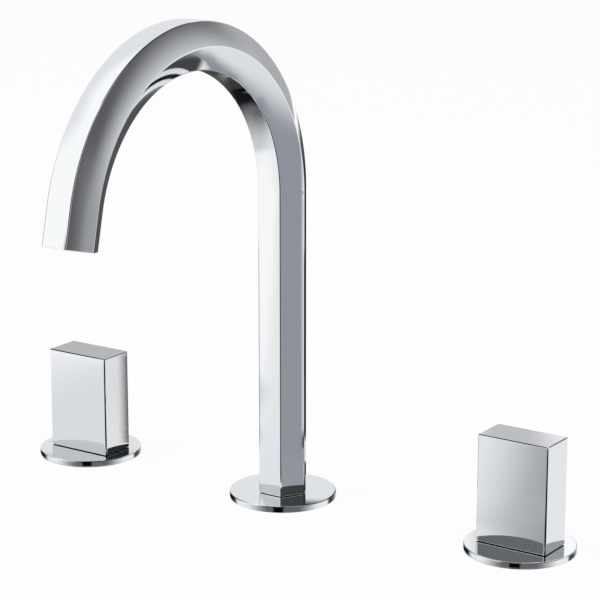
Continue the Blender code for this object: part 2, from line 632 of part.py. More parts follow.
def handle(prefix, carrier):
    """The block with its round socket and the screw hole in its back."""
    half_width, half_depth = BLOCK_WIDTH / 2, BLOCK_DEPTH / 2
    block = box((-half_width, -half_depth, BLOCK_FOOT), (half_width, half_depth, BLOCK_FOOT + BLOCK_HEIGHT))
    bmesh.ops.bevel(block, geom=block.edges[:], offset=BLOCK_EDGE, segments=1, affect="EDGES")
    block = place(prefix + "_handle", block, "polished_chrome", carrier)
    socket = lofted([circle(HANDLE_SOCKET_RADIUS, BLOCK_FOOT - OVERRUN, STEM_SEGMENTS),
                     circle(HANDLE_SOCKET_RADIUS, HANDLE_SOCKET_TOP, STEM_SEGMENTS)])
    combine(block, "DIFFERENCE", place(prefix + "_handle_socket", socket, None, carrier))
    grub_z = BLOCK_FOOT + GRUB_HEIGHT
    hole = rod(GRUB_RADIUS + FIT_GAP, ADAPTER_RADIUS / 2, half_depth + OVERRUN, (0, 1, 0), grub_z,
               SCREW_SEGMENTS)
    combine(block, "DIFFERENCE", place(prefix + "_handle_screw_hole", hole, None, carrier))
    groove_radius = ADAPTER_RADIUS - ADAPTER_GROOVE_DEPTH
    grub_screw(prefix, carrier, groove_radius + FIT_GAP, half_depth - GRUB_SINK, grub_z)


def socket_screw(rings, end, depth, key_radius):
    """Finish a stack of rings with a six-sided key socket sunk into the last one."""
    return lofted(rings + [circle(key_radius, end, 6), circle(key_radius, end - depth, 6)])


def grub_screw(prefix, carrier, point, end, height):
    """The pointed screw that locks the block on its adapter, from the back."""
    rings = [circle(radius, height, SCREW_SEGMENTS) for radius, height in (
        (GRUB_RADIUS - GRUB_POINT, point), (GRUB_RADIUS, point + GRUB_POINT), (GRUB_RADIUS, end))]
    key_depth = (end - point) * GRUB_KEY_DEPTH_SHARE
    mesh = socket_screw(rings, end, key_depth, GRUB_RADIUS * GRUB_KEY_RADIUS_SHARE)
    bmesh.ops.transform(mesh, verts=mesh.verts, matrix=Matrix.Translation((0.0, 0.0, height))
                        @ Matrix.Rotation(-math.pi / 2, 4, "X"))
    place(prefix + "_grub_screw", mesh, "stainless_steel", carrier)


def stem_adapter(prefix, carrier):
    """The splined sleeve that carries the block on the stem, and the screw that holds it down."""
    groove_low = BLOCK_FOOT + GRUB_HEIGHT - GRUB_RADIUS - FIT_GAP
    groove_high = BLOCK_FOOT + GRUB_HEIGHT + GRUB_RADIUS + FIT_GAP
    groove_radius = ADAPTER_RADIUS - ADAPTER_GROOVE_DEPTH
    rings = [circle(radius, height, STEM_SEGMENTS) for radius, height in (
        (ADAPTER_RADIUS, BLOCK_FOOT), (ADAPTER_RADIUS, groove_low), (groove_radius, groove_low),
        (groove_radius, groove_high), (ADAPTER_RADIUS, groove_high), (ADAPTER_RADIUS, ADAPTER_TOP),
        (SCREW_HOLE_RADIUS, ADAPTER_TOP), (SCREW_HOLE_RADIUS, ADAPTER_CEILING))]
    rings += [splines(STEM_RADIUS + SPLINE_GAP, height) for height in (ADAPTER_CEILING, BLOCK_FOOT)]
    place(prefix + "_stem_adapter", lofted(rings, closed=True), "machined_brass", carrier)
    head_top = SCREW_SEAT + ADAPTER_SCREW_HEAD_HEIGHT
    shank = [circle(radius, height, SCREW_SEGMENTS) for radius, height in (
        (ADAPTER_SCREW_RADIUS, SCREW_SEAT - ADAPTER_SCREW_LENGTH), (ADAPTER_SCREW_RADIUS, SCREW_SEAT),
        (ADAPTER_SCREW_HEAD_RADIUS, SCREW_SEAT), (ADAPTER_SCREW_HEAD_RADIUS, head_top))]
    screw = socket_screw(shank, head_top, ADAPTER_SCREW_HEAD_HEIGHT * ADAPTER_KEY_DEPTH_SHARE,
                         ADAPTER_SCREW_HEAD_RADIUS * ADAPTER_KEY_RADIUS_SHARE)
    place(prefix + "_adapter_screw", screw, "stainless_steel", carrier)


def valve_stem(prefix, carrier):
    """The splined stem: collar under the cartridge's head, groove for its ring, bar-shaped dog below."""
    section = (STEM_GROOVE_DEPTH - FIT_GAP) / 2
    groove_radius = STEM_RADIUS - STEM_GROOVE_DEPTH
    groove_z = (CARTRIDGE_TOP + CAVITY_CEILING) / 2
    groove_half = section + FIT_GAP
    collar_radius = STEM_RADIUS + STEM_COLLAR_WIDTH
    dog_top = MOVING_DISC_TOP + DOG_HEIGHT
    rings = [circle(radius, height, STEM_SEGMENTS) for radius, height in (
        (STEM_RADIUS, dog_top - DOG_WIDTH), (STEM_RADIUS, COLLAR_FOOT), (collar_radius, COLLAR_FOOT),
        (collar_radius, COLLAR_TOP), (STEM_RADIUS, COLLAR_TOP), (STEM_RADIUS, groove_z - groove_half),
        (groove_radius, groove_z - groove_half), (groove_radius, groove_z + groove_half),
        (STEM_RADIUS, groove_z + groove_half), (STEM_RADIUS, BLOCK_FOOT))]
    rings += [splines(STEM_RADIUS, BLOCK_FOOT), splines(STEM_RADIUS, STEM_TOP - SPLINE_END_CHAMFER)]
    rings += [circle(radius, height, STEM_SEGMENTS) for radius, height in (
        (STEM_RADIUS - SPLINE_DEPTH - SPLINE_END_CHAMFER, STEM_TOP), (SCREW_HOLE_RADIUS, STEM_TOP),
        (SCREW_HOLE_RADIUS, SCREW_HOLE_BOTTOM))]
    stem = place(prefix + "_valve_stem", lofted(rings), "machined_brass", carrier)
    half_length = DISC_RADIUS - DOG_END_GAP
    dog = box((-half_length, -DOG_WIDTH / 2, DOG_FOOT), (half_length, DOG_WIDTH / 2, dog_top))
    combine(stem, "UNION", place(prefix + "_stem_dog", dog, None, carrier))
    place(prefix + "_stem_o_ring", o_ring(groove_radius + FIT_GAP, STEM_RADIUS, groove_z),
          "black_rubber", carrier)


def disc_ports(middle_angle, foot, top):
    """A cutter of two opposite ring sectors, the water ports of a ceramic disc."""
    mesh = bmesh.new()
    inner, outer = DISC_RADIUS * DISC_HUB_SHARE, DISC_RADIUS * DISC_RIM_SHARE
    for side in range(2):
        start = middle_angle + math.pi * side - DISC_PORT_ANGLE / 2
        angles = [start + DISC_PORT_ANGLE * step / DISC_PORT_STEPS for step in range(DISC_PORT_STEPS + 1)]
        outline = [(outer * math.cos(a), outer * math.sin(a)) for a in angles]
        outline += [(inner * math.cos(a), inner * math.sin(a)) for a in reversed(angles)]
        rings = [[mesh.verts.new((x, y, height)) for x, y in outline]
                 for height in (foot - OVERRUN, top + OVERRUN)]
        skin(mesh, *rings)
        mesh.faces.new(rings[0])
        mesh.faces.new(rings[1])
    return mesh


def ceramic_disc(name, radius, foot, top, port_angle, finish_name, carrier):
    """A lapped disc with its two ports."""
    outline = [(0.0, foot), (radius, foot), (radius, top), (0.0, top)]
    disc = place(name, turned(outline), finish_name, carrier)
    combine(disc, "DIFFERENCE", place(name + "_ports", disc_ports(port_angle, foot, top), None, carrier))
    return disc


def ceramic_discs(prefix, frame, carrier):
    """The pair that opens and shuts: shut at rest, open after a quarter turn; and the seal below."""
    moving = ceramic_disc(prefix + "_moving_disc", DISC_RADIUS - MOVING_DISC_GAP, MOVING_DISC_FOOT,
                          MOVING_DISC_TOP, math.pi / 2, "grey_ceramic", carrier)
    slot_half = DOG_WIDTH / 2 + FIT_GAP
    slot = box((-DISC_RADIUS - OVERRUN, -slot_half, MOVING_DISC_TOP - DISC_SLOT_DEPTH),
               (DISC_RADIUS + OVERRUN, slot_half, MOVING_DISC_TOP + OVERRUN))
    combine(moving, "DIFFERENCE", place(prefix + "_disc_slot", slot, None, carrier))
    ceramic_disc(prefix + "_fixed_disc", DISC_RADIUS, FIXED_DISC_FOOT, FIXED_DISC_TOP, 0.0,
                 "white_ceramic", frame)
    place(prefix + "_seat_seal", washer(INLET_BORE_RADIUS, DISC_RADIUS, SEAL_FOOT, SEAL_TOP),
          "black_rubber", frame)


def cartridge(prefix, frame):
    """The cartridge's brass body with its two windows, its O-ring, and the nut that keeps it in."""
    section = (CARTRIDGE_GROOVE_DEPTH - FIT_GAP) / 2
    groove_radius = CARTRIDGE_RADIUS - CARTRIDGE_GROOVE_DEPTH
    groove_z = CARTRIDGE_TOP - CARTRIDGE_HEAD_HEIGHT * CARTRIDGE_GROOVE_SHARE
    groove_half = section + FIT_GAP
    body = place(prefix + "_cartridge_body", turned([
        (CARTRIDGE_RADIUS, SEAL_FOOT), (CARTRIDGE_RADIUS, groove_z - groove_half),
        (groove_radius, groove_z - groove_half), (groove_radius, groove_z + groove_half),
        (CARTRIDGE_RADIUS, groove_z + groove_half), (CARTRIDGE_RADIUS, CARTRIDGE_TOP),
        (STEM_RADIUS + FIT_GAP, CARTRIDGE_TOP), (STEM_RADIUS + FIT_GAP, CAVITY_CEILING),
        (CAVITY_RADIUS, CAVITY_CEILING), (CAVITY_RADIUS, SEAL_FOOT)]), "machined_brass", frame)
    half_width = CAVITY_RADIUS * WINDOW_WIDTH_SHARE
    middle = (COLLAR_FOOT + MOVING_DISC_TOP) / 2
    half_height = STEM_LEG_HEIGHT * WINDOW_HEIGHT_SHARE / 2
    windows = box((-half_width, -CARTRIDGE_RADIUS - OVERRUN, middle - half_height),
                  (half_width, CARTRIDGE_RADIUS + OVERRUN, middle + half_height))
    combine(body, "DIFFERENCE", place(prefix + "_cartridge_windows", windows, None, frame))
    place(prefix + "_cartridge_o_ring", o_ring(groove_radius + FIT_GAP, CARTRIDGE_RADIUS, groove_z),
          "black_rubber", frame)
    nut = place(prefix + "_cartridge_nut", washer(STEM_RADIUS + FIT_GAP, CARTRIDGE_NUT_RADIUS,
                                                  CARTRIDGE_NUT_FOOT, CARTRIDGE_NUT_TOP),
                "machined_brass", frame)
    key = box((-BODY_RADIUS, -CARTRIDGE_NUT_KEY_WIDTH / 2, CARTRIDGE_NUT_TOP - CARTRIDGE_NUT_KEY_DEPTH),
              (BODY_RADIUS, CARTRIDGE_NUT_KEY_WIDTH / 2, CARTRIDGE_NUT_TOP + OVERRUN))
    combine(nut, "DIFFERENCE", place(prefix + "_cartridge_nut_slot", key, None, frame))


def valve_flange(prefix, frame):
    """The flange with its threaded skirt, its gasket, and the bush that guides the stem in it."""
    place(prefix + "_flange", turned([
        (FLANGE_RADIUS, 0.0), (FLANGE_RADIUS, FLANGE_TOP - FLANGE_EDGE),
        (FLANGE_RADIUS - FLANGE_EDGE, FLANGE_TOP), (BUSH_SEAT_RADIUS, FLANGE_TOP),
        (BUSH_SEAT_RADIUS, BUSH_SEAT), (BUSH_HOLE_RADIUS, BUSH_SEAT), (BUSH_HOLE_RADIUS, RECESS_DEPTH),
        (SKIRT_BORE_RADIUS, RECESS_DEPTH), (SKIRT_BORE_RADIUS, -SKIRT_DEPTH), (SKIRT_RADIUS, -SKIRT_DEPTH),
        (SKIRT_RADIUS, RECESS_DEPTH), (LAND_INNER_RADIUS, RECESS_DEPTH), (LAND_INNER_RADIUS, 0.0)],
        FLANGE_SEGMENTS), "polished_chrome", frame)
    flange_gasket(prefix + "_flange_gasket", frame)
    lip_foot = BUSH_SEAT + FIT_GAP
    lip_top = BLOCK_FOOT - FIT_GAP
    place(prefix + "_glide_bush", turned([
        (BUSH_BORE_RADIUS, RECESS_DEPTH), (BUSH_RADIUS, RECESS_DEPTH), (BUSH_RADIUS, lip_foot),
        (BUSH_LIP_RADIUS, lip_foot), (BUSH_LIP_RADIUS, lip_top), (BUSH_BORE_RADIUS, lip_top)]),
        "black_acetal", frame)


def valve_body(prefix, frame, side):
    """The brass body: pocket for the cartridge, seat tube inside, inlet below, outlet to one side."""
    body = place(prefix + "_valve_body", turned([
        (BODY_RADIUS, BODY_TOP), (BODY_RADIUS, BODY_BOTTOM), (INLET_RADIUS, BODY_BOTTOM),
        (INLET_RADIUS, INLET_BOTTOM + INLET_CHAMFER), (INLET_RADIUS - INLET_CHAMFER, INLET_BOTTOM),
        (INLET_BORE_RADIUS, INLET_BOTTOM), (INLET_BORE_RADIUS, SEAT_Z), (SEAT_TUBE_RADIUS, SEAT_Z),
        (SEAT_TUBE_RADIUS, CHAMBER_FLOOR), (CHAMBER_RADIUS, CHAMBER_FLOOR), (CHAMBER_RADIUS, COLLAR_FOOT),
        (REGISTER_RADIUS, COLLAR_FOOT), (REGISTER_RADIUS, CARTRIDGE_NUT_FOOT - FIT_GAP),
        (NUT_POCKET_RADIUS, CARTRIDGE_NUT_FOOT - FIT_GAP), (NUT_POCKET_RADIUS, BODY_TOP)]),
        "machined_brass", frame)
    inside_wall = (INLET_BORE_RADIUS + INLET_RADIUS) / 2
    wrench_top = BODY_BOTTOM + BODY_FLOOR / 2
    wrench = lofted([hexagon(INLET_RADIUS + WRENCH_WIDTH, WRENCH_BOTTOM),
                     hexagon(INLET_RADIUS + WRENCH_WIDTH, wrench_top),
                     circle(inside_wall, wrench_top, HEX_SEGMENTS),
                     circle(inside_wall, WRENCH_BOTTOM, HEX_SEGMENTS)], closed=True)
    combine(body, "UNION", place(prefix + "_body_wrench_flats", wrench, None, frame))
    reach = BODY_RADIUS + PORT_REACH
    arm = lofted([circle(PORT_RADIUS, CHAMBER_RADIUS + FIT_GAP), circle(PORT_RADIUS, reach - PORT_CHAMFER),
                  circle(PORT_RADIUS - PORT_CHAMFER, reach)])
    bmesh.ops.transform(arm, verts=arm.verts, matrix=Matrix.Translation((0.0, 0.0, OUTLET_Z))
                        @ Matrix.Rotation(side * math.pi / 2, 4, "Y"))
    combine(body, "UNION", place(prefix + "_body_outlet_arm", arm, None, frame))
    combine(body, "DIFFERENCE", place(prefix + "_body_outlet_bore", rod(
        PORT_BORE_RADIUS, REGISTER_RADIUS, reach + OVERRUN, (side, 0, 0), OUTLET_Z), None, frame))


def valve_unit(prefix, x, side):
    """One valve with its handle; side is +1 or -1, the way along X from the valve to the spout."""
    frame = empty_at(prefix + "_valve", x)
    carrier = empty_at(prefix + "_handle_turn", 0.0, frame)
    handle(prefix, carrier)
    stem_adapter(prefix, carrier)
    valve_stem(prefix, carrier)
    ceramic_discs(prefix, frame, carrier)
    cartridge(prefix, frame)
    valve_flange(prefix, frame)
    valve_body(prefix, frame, side)
    clamp(prefix, BODY_RADIUS, frame)


def main():
    """Build the faucet."""
    clear_scene()
    spout_tube()
    spout_flange()
    spout_shank()
    clamp("spout", SHANK_RADIUS)
    inlet_tee()
    aerator()
    valve_unit("hot", HOT_X, 1)
    valve_unit("cold", COLD_X, -1)


main()
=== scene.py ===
# %% [markdown]
# This is a chrome basin faucet for a deck with three holes: a six-sided gooseneck spout between two
# upright block handles, each on a thin round flange. Mirror chrome has almost no colour of its own.
# What the eye reads as chrome is the room in it, so this lesson has two halves: exact, softly
# rounded surfaces that carry a reflection without a kink, and a small studio worth reflecting.
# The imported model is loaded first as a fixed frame. Its boxes give sizes and places where they
# can, and the other sizes below are those that its solids were drawn with.

# %% The fixed frame
import json
import math

import bpy
import numpy as np
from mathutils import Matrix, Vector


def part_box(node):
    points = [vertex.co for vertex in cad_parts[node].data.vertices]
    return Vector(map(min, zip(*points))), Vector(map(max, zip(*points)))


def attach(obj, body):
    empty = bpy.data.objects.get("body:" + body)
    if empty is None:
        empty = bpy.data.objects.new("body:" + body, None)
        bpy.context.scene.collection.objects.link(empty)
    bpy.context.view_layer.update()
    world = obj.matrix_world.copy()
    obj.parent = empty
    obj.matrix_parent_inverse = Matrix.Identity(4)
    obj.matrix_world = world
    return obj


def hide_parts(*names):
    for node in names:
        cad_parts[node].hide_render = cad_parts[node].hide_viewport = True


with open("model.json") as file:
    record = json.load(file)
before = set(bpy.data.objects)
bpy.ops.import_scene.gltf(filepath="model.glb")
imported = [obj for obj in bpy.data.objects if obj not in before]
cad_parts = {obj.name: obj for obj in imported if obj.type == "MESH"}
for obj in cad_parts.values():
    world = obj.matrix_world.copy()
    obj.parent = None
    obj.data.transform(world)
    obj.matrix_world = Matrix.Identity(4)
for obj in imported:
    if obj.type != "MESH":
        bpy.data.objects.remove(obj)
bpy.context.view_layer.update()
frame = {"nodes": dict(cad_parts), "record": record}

MM = 0.001

# %% [markdown]
# A product photographer stands well back with a long lens, because a short one makes upright
# edges lean. The camera here is at the distance and height that the photograph's edges give when
# their vanishing points are worked out, 1.1 m away and looking down by about 14 degrees.

# %% The camera
CAMERA_PLACE = (598.7 * MM, -864.7 * MM, 370.7 * MM)
CAMERA_DOWN, CAMERA_TURN = 14.501, 34.242     # degrees below level, and round from straight ahead
CAMERA_LENS, CAMERA_SENSOR = 136.14, 36.0     # mm
CAMERA_NEAR, CAMERA_FAR = 0.05, 20.0          # m

camera = bpy.data.objects.new("camera", bpy.data.cameras.new("camera"))
camera.data.lens = CAMERA_LENS
camera.data.sensor_width = CAMERA_SENSOR
camera.data.clip_start = CAMERA_NEAR
camera.data.clip_end = CAMERA_FAR
camera.location = CAMERA_PLACE
camera.rotation_euler = (math.radians(90 - CAMERA_DOWN), 0.0, math.radians(CAMERA_TURN))
bpy.context.scene.collection.objects.link(camera)
bpy.context.scene.camera = camera
print("camera", round(camera.location.length, 3), "m from the spout's foot, lens", CAMERA_LENS, "mm")

# %% [markdown]
# Colours are written as the hex values that a painter would pick on a screen, and the shaders
# want linear light, so one function turns the one into the other. A second small function adds a
# node to a material with its settings and its links, which keeps each recipe short enough to
# read as a sentence.

# %% Colour and node helpers
def linear(colour):
    """Turn an sRGB hex value to linear light: divide below the toe, raise to 2.4 above it."""
    channels = np.array([int(colour[place:place + 2], 16) / 255 for place in (1, 3, 5)])
    light = np.where(channels <= 0.04045, channels / 12.92, ((channels + 0.055) / 1.055) ** 2.4)
    return (*light.tolist(), 1.0)


def per(size_mm):
    """Turn the real size of one blob or line, in mm, to a texture's scale."""
    return 1.0 / (size_mm * MM)


def add_node(tree, kind, sockets=None, **settings):
    """Add a node, set its properties, and fill each named socket with a value or a link."""
    node = tree.nodes.new(kind)
    for key, value in settings.items():
        setattr(node, key, value)
    for key, value in (sockets or {}).items():
        if isinstance(value, bpy.types.NodeSocket):
            tree.links.new(value, node.inputs[key])
        else:
            node.inputs[key].default_value = value
    return node


def new_material(name):
    """Start a material with only a Principled shader, and return it with its tree and shader."""
    material = bpy.data.materials.new(name)
    material.use_nodes = True
    return material, material.node_tree, material.node_tree.nodes["Principled BSDF"]


print("mid grey #808080 is", round(linear("#808080")[0], 3), "in linear light")

# %% [markdown]
# Bright chrome is a film of chromium, a fraction of a micrometre thick, plated over nickel on
# polished brass. It could be a pure mirror, but plating follows the polished brass below, whose
# surface still swells a little, so a straight reflection wavers by a hair. The recipe is a metal
# with a cool pale colour, a very low roughness that wiping makes slightly uneven, and a bump so
# shallow that it only bends reflections.

# %% Bright chrome plate on polished brass
CHROME_WIPE = 26.0      # mm across one patch that was wiped a little less
CHROME_SWELL = 9.0      # mm from one swell of the polished brass to the next
SWELL_HEIGHT = 0.0025   # mm


def bright_chrome_plate():
    """Mirror metal: the eye gets the room back, cool and slightly dimmed, with edges that waver."""
    material, tree, shader = new_material("bright_chrome_plate_on_polished_brass")
    place = add_node(tree, "ShaderNodeTexCoord").outputs["Object"]
    wipe = add_node(tree, "ShaderNodeTexNoise", {
        "Vector": place, "Scale": per(CHROME_WIPE), "Detail": 2.0})
    rough = add_node(tree, "ShaderNodeMapRange", {
        "Value": wipe.outputs["Fac"], "From Min": 0.35, "From Max": 0.7, "To Min": 0.018, "To Max": 0.045})
    swell = add_node(tree, "ShaderNodeTexNoise", {
        "Vector": place, "Scale": per(CHROME_SWELL), "Detail": 1.0})
    bump = add_node(tree, "ShaderNodeBump", {
        "Height": swell.outputs["Fac"], "Strength": 0.35, "Distance": SWELL_HEIGHT * MM})
    shader.inputs["Base Color"].default_value = linear("#F6F8FA")
    shader.inputs["Metallic"].default_value = 1.0
    tree.links.new(rough.outputs["Result"], shader.inputs["Roughness"])
    tree.links.new(bump.outputs["Normal"], shader.inputs["Normal"])
    return material


chrome = bright_chrome_plate()
print("chrome:", len(chrome.node_tree.nodes), "nodes")

# %% [markdown]
# Most of the other stuffs share a second recipe: an even fine grain. It moves the colour between
# two close tones and the roughness by a seventh either way. It stands about as high as the real
# grain but is drawn several times wider, because a finer one wouldn't show.

# %% A stuff with a fine grain
GRAIN_SWING = 0.15      # share by which the grain moves the roughness


def satin(name, colour, second_colour, metallic, roughness, grain_mm, depth_mm):
    """A stuff with an even fine grain: two close tones, and a bump as deep as the grain."""
    material, tree, shader = new_material(name)
    place = add_node(tree, "ShaderNodeTexCoord").outputs["Object"]
    grain = add_node(tree, "ShaderNodeTexNoise", {"Vector": place, "Scale": per(grain_mm), "Detail": 5.0})
    tone = add_node(tree, "ShaderNodeMix", {
        "Factor": grain.outputs["Fac"], "A": linear(colour), "B": linear(second_colour)}, data_type="RGBA")
    rough = add_node(tree, "ShaderNodeMapRange", {
        "Value": grain.outputs["Fac"], "From Min": 0.3, "From Max": 0.7,
        "To Min": roughness * (1 - GRAIN_SWING), "To Max": roughness * (1 + GRAIN_SWING)})
    bump = add_node(tree, "ShaderNodeBump", {
        "Height": grain.outputs["Fac"], "Strength": 0.5, "Distance": depth_mm * MM})
    shader.inputs["Metallic"].default_value = metallic
    tree.links.new(tone.outputs["Result"], shader.inputs["Base Color"])
    tree.links.new(rough.outputs["Result"], shader.inputs["Roughness"])
    tree.links.new(bump.outputs["Normal"], shader.inputs["Normal"])
    return material


print("a grain of 0.5 mm is a noise scale of", per(0.5))

# %% [markdown]
# Chrome forgives nothing, so each visible piece is a surface worked out with numpy instead of a
# box with a bevel. A shape is a grid of rings: every ring has as many points, a ring closes on
# itself, and the last ring joins the first or both ends close on a middle point. One helper turns
# such a grid to a closed mesh, and a second one rounds the corners of an outline and lays a
# support point just beyond each rounding, so that the shading of a flat stays flat.

# %% Grid and outline helpers
SHARP = math.radians(35)  # an edge with a wider angle than this isn't shaded smooth
SUPPORT = 0.08 * MM      # how far beyond a rounding its support point lies


def unit(angle):
    """The point at an angle on the unit circle: its cosine and its sine."""
    return np.stack([np.cos(angle), np.sin(angle)], axis=-1)


def volume_of(points, triangles):
    """Signed volume: a sixth of the sum of every triangle's triple product."""
    a, b, c = (points[triangles[:, corner]] for corner in range(3))
    return float(np.einsum("ij,ij->i", a, np.cross(b, c)).sum() / 6)


def closed_mesh(name, grid, poles=False):
    """Skin a (rings, points, 3) grid with quads between neighbours, and point them outwards."""
    rings, count, _ = grid.shape
    index = np.arange(rings * count).reshape(rings, count)
    beside = np.roll(index, -1, axis=1)
    quads = np.stack([index, beside, np.roll(beside, -1, axis=0), np.roll(index, -1, axis=0)], axis=-1)
    points = grid.reshape(-1, 3)
    fans = np.empty((0, 3), int)
    if poles:
        quads = quads[:-1]
        points = np.concatenate([points, grid[:1].mean(axis=1), grid[-1:].mean(axis=1)])
        first, last = np.full(count, rings * count), np.full(count, rings * count + 1)
        fans = np.concatenate([np.stack([first, beside[0], index[0]], axis=-1),
                               np.stack([last, index[-1], beside[-1]], axis=-1)])
    quads = quads.reshape(-1, 4)
    triangles = np.concatenate([quads[:, [0, 1, 2]], quads[:, [0, 2, 3]], fans])
    if volume_of(points, triangles) < 0:
        quads, fans = quads[:, ::-1], fans[:, ::-1]
    mesh = bpy.data.meshes.new(name)
    mesh.from_pydata(points.tolist(), [], quads.tolist() + fans.tolist())
    mesh.shade_smooth()
    mesh.set_sharp_from_angle(angle=SHARP)
    return mesh


def add_piece(name, mesh, material, body, slot, *nodes):
    """Link a finished mesh as a piece that rides on a body and stands for CAD nodes."""
    piece = bpy.data.objects.new(name, mesh)
    bpy.context.scene.collection.objects.link(piece)
    mesh.materials.append(material)
    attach(piece, body)
    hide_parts(*nodes)
    mesh.calc_loop_triangles()
    print(f"{name}: {len(mesh.loop_triangles)} triangles")
    return piece


def round_outline(corners, radii, steps=6):
    """Round a closed outline's corners: each arc touches both sides, and its centre lies where the
    two sides, moved inwards by the radius, cross. A support point follows on either side."""
    corner = np.array(corners, float)
    before = np.roll(corner, 1, axis=0) - corner
    after = np.roll(corner, -1, axis=0) - corner
    before /= np.linalg.norm(before, axis=1, keepdims=True)
    after /= np.linalg.norm(after, axis=1, keepdims=True)
    half_angle = np.arccos(np.clip((before * after).sum(axis=1), -1, 1)) / 2
    radius = np.array(radii, float)
    reach = (radius / np.tan(half_angle))[:, None]
    middle = (before + after) / np.linalg.norm(before + after, axis=1, keepdims=True)
    centre = corner + middle * (radius / np.sin(half_angle))[:, None]
    start, end = corner + before * reach - centre, corner + after * reach - centre
    turn = np.pi - 2 * half_angle
    share = np.linspace(0, 1, steps + 1)
    swing = (np.sin((1 - share) * turn[:, None])[..., None] * start[:, None]
             + np.sin(share * turn[:, None])[..., None] * end[:, None]) / np.sin(turn)[:, None, None]
    arcs = centre[:, None] + swing
    lead = corner + before * (reach + SUPPORT)
    trail = corner + after * (reach + SUPPORT)
    return np.concatenate([lead[:, None], arcs, trail[:, None]], axis=1).reshape(-1, 2)


def turned_grid(outline, segments, centre_x=0.0):
    """Carry an outline of (radius, height) points round an upright axis at centre_x: each point
    goes to the radius times the cosine and the sine of the turn, at its own height."""
    direction = unit(2 * np.pi * np.arange(segments) / segments)
    radius, height = outline[:, :1], outline[:, 1:]
    return np.stack([centre_x + radius * direction[:, 0], radius * direction[:, 1],
                     np.broadcast_to(height, (len(outline), segments))], axis=-1)


print("sharp from", round(math.degrees(SHARP)), "degrees, support", SUPPORT / MM, "mm beyond a rounding")

# %% [markdown]
# The spout is the eye-catcher: brass tube drawn through a six-sided die, bent over a round former
# by 167 degrees, and polished by hand. Polishing softens each corner and leaves every side very
# slightly bowed, and that bow is what turns a reflection in it to a long gradient. So the section
# is twelve arcs, six wide ones for the sides and six small ones for the corners, which share
# their tangents where they meet. The same section is then carried up the riser, round the bend
# and down the tail, and a stepped round waterway comes back inside it.

# %% The spout's section
ACROSS_FLATS = 2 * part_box("spout_tube")[1].y
SPOUT_CORNER = 0.8 * MM
SPOUT_BOW = math.radians(3.5)
SIDE_POINTS, CORNER_POINTS = 14, 7


def bowed_polygon(sides, apothem, corner_radius, bow):
    """Points and outward normals of a polygon made of wide and small arcs. A side's arc turns by
    the bow angle each way; its radius is the one at which both arcs' centres line up with their
    common normal: (apothem sin a - corner s) / (sin a - s), with s the sine of a minus the bow."""
    half = math.pi / sides
    lean = math.sin(half - bow)
    wide_radius = (apothem * math.sin(half) - corner_radius * lean) / (math.sin(half) - lean)
    corner_reach = (wide_radius - corner_radius) * math.sin(bow) / math.sin(half)
    along_side = bow * np.sin(np.linspace(-np.pi / 2, np.pi / 2, SIDE_POINTS))
    along_corner = np.linspace(bow, 2 * half - bow, CORNER_POINTS + 2)[1:-1]
    turn = np.concatenate([along_side, along_corner])
    is_corner = np.arange(len(turn)) >= SIDE_POINTS
    radius = np.where(is_corner, corner_radius, wide_radius)[:, None]
    reach = np.where(is_corner, corner_reach, apothem - wide_radius)[:, None]
    start = half + 2 * half * np.arange(sides)[:, None]
    normals = unit(start + turn)
    points = reach * unit(start + np.where(is_corner, half, 0.0)) + radius * normals
    return points.reshape(-1, 2), normals.reshape(-1, 2)


spout_points, spout_normals = bowed_polygon(6, ACROSS_FLATS / 2, SPOUT_CORNER, SPOUT_BOW)
wide, deep = np.ptp(spout_points, axis=0) / MM
print(f"section: {len(spout_points)} points, {deep:.2f} mm across flats, {wide:.2f} mm across corners")

# %% The spout, swept
BEND_RADIUS = 77.0 * MM
BEND_HEIGHT = 153.0 * MM
BEND_TURN = math.radians(167)
BEND_STEPS = 168
BORE_STEPS = 56
TUBE_END = 0.25 * MM        # rounding of the tube's ends
BORE_END = 0.15 * MM
FOOT_SOCKET = 8.1 * MM
FOOT_SOCKET_DEPTH = 13.3 * MM
WATERWAY = 6.5 * MM
OUTLET_SOCKET = 8.55 * MM
OUTLET_SOCKET_DEPTH = 10.1 * MM
TAIL = 17.0 * MM
RISER_START = 4.0 * MM      # from the foot to the first of the riser's even rings
TAIL_STOP = 2.0 * MM        # from the last of the tail's even rings to the outlet
RISER_RINGS, TAIL_RINGS = 9, 6
QUARTER_POINTS = 6          # points in each rounding of an end
quarter = np.linspace(0, np.pi / 2, QUARTER_POINTS)


def swept(turn, beyond, section):
    """Carry sections along the path: riser, bend and tail are one formula. A point's height is
    the bend's centre plus its reach times the sine of the turn, plus the way beyond the bend
    times the cosine, and its depth is the same with the cosine and the negative sine."""
    side, outward = section[..., 0], section[..., 1]
    reach = BEND_RADIUS + outward
    depth = -BEND_RADIUS + np.cos(turn)[:, None] * reach - (np.sin(turn) * beyond)[:, None]
    height = BEND_HEIGHT + np.sin(turn)[:, None] * reach + (np.cos(turn) * beyond)[:, None]
    return np.stack([side, depth, height], axis=-1)


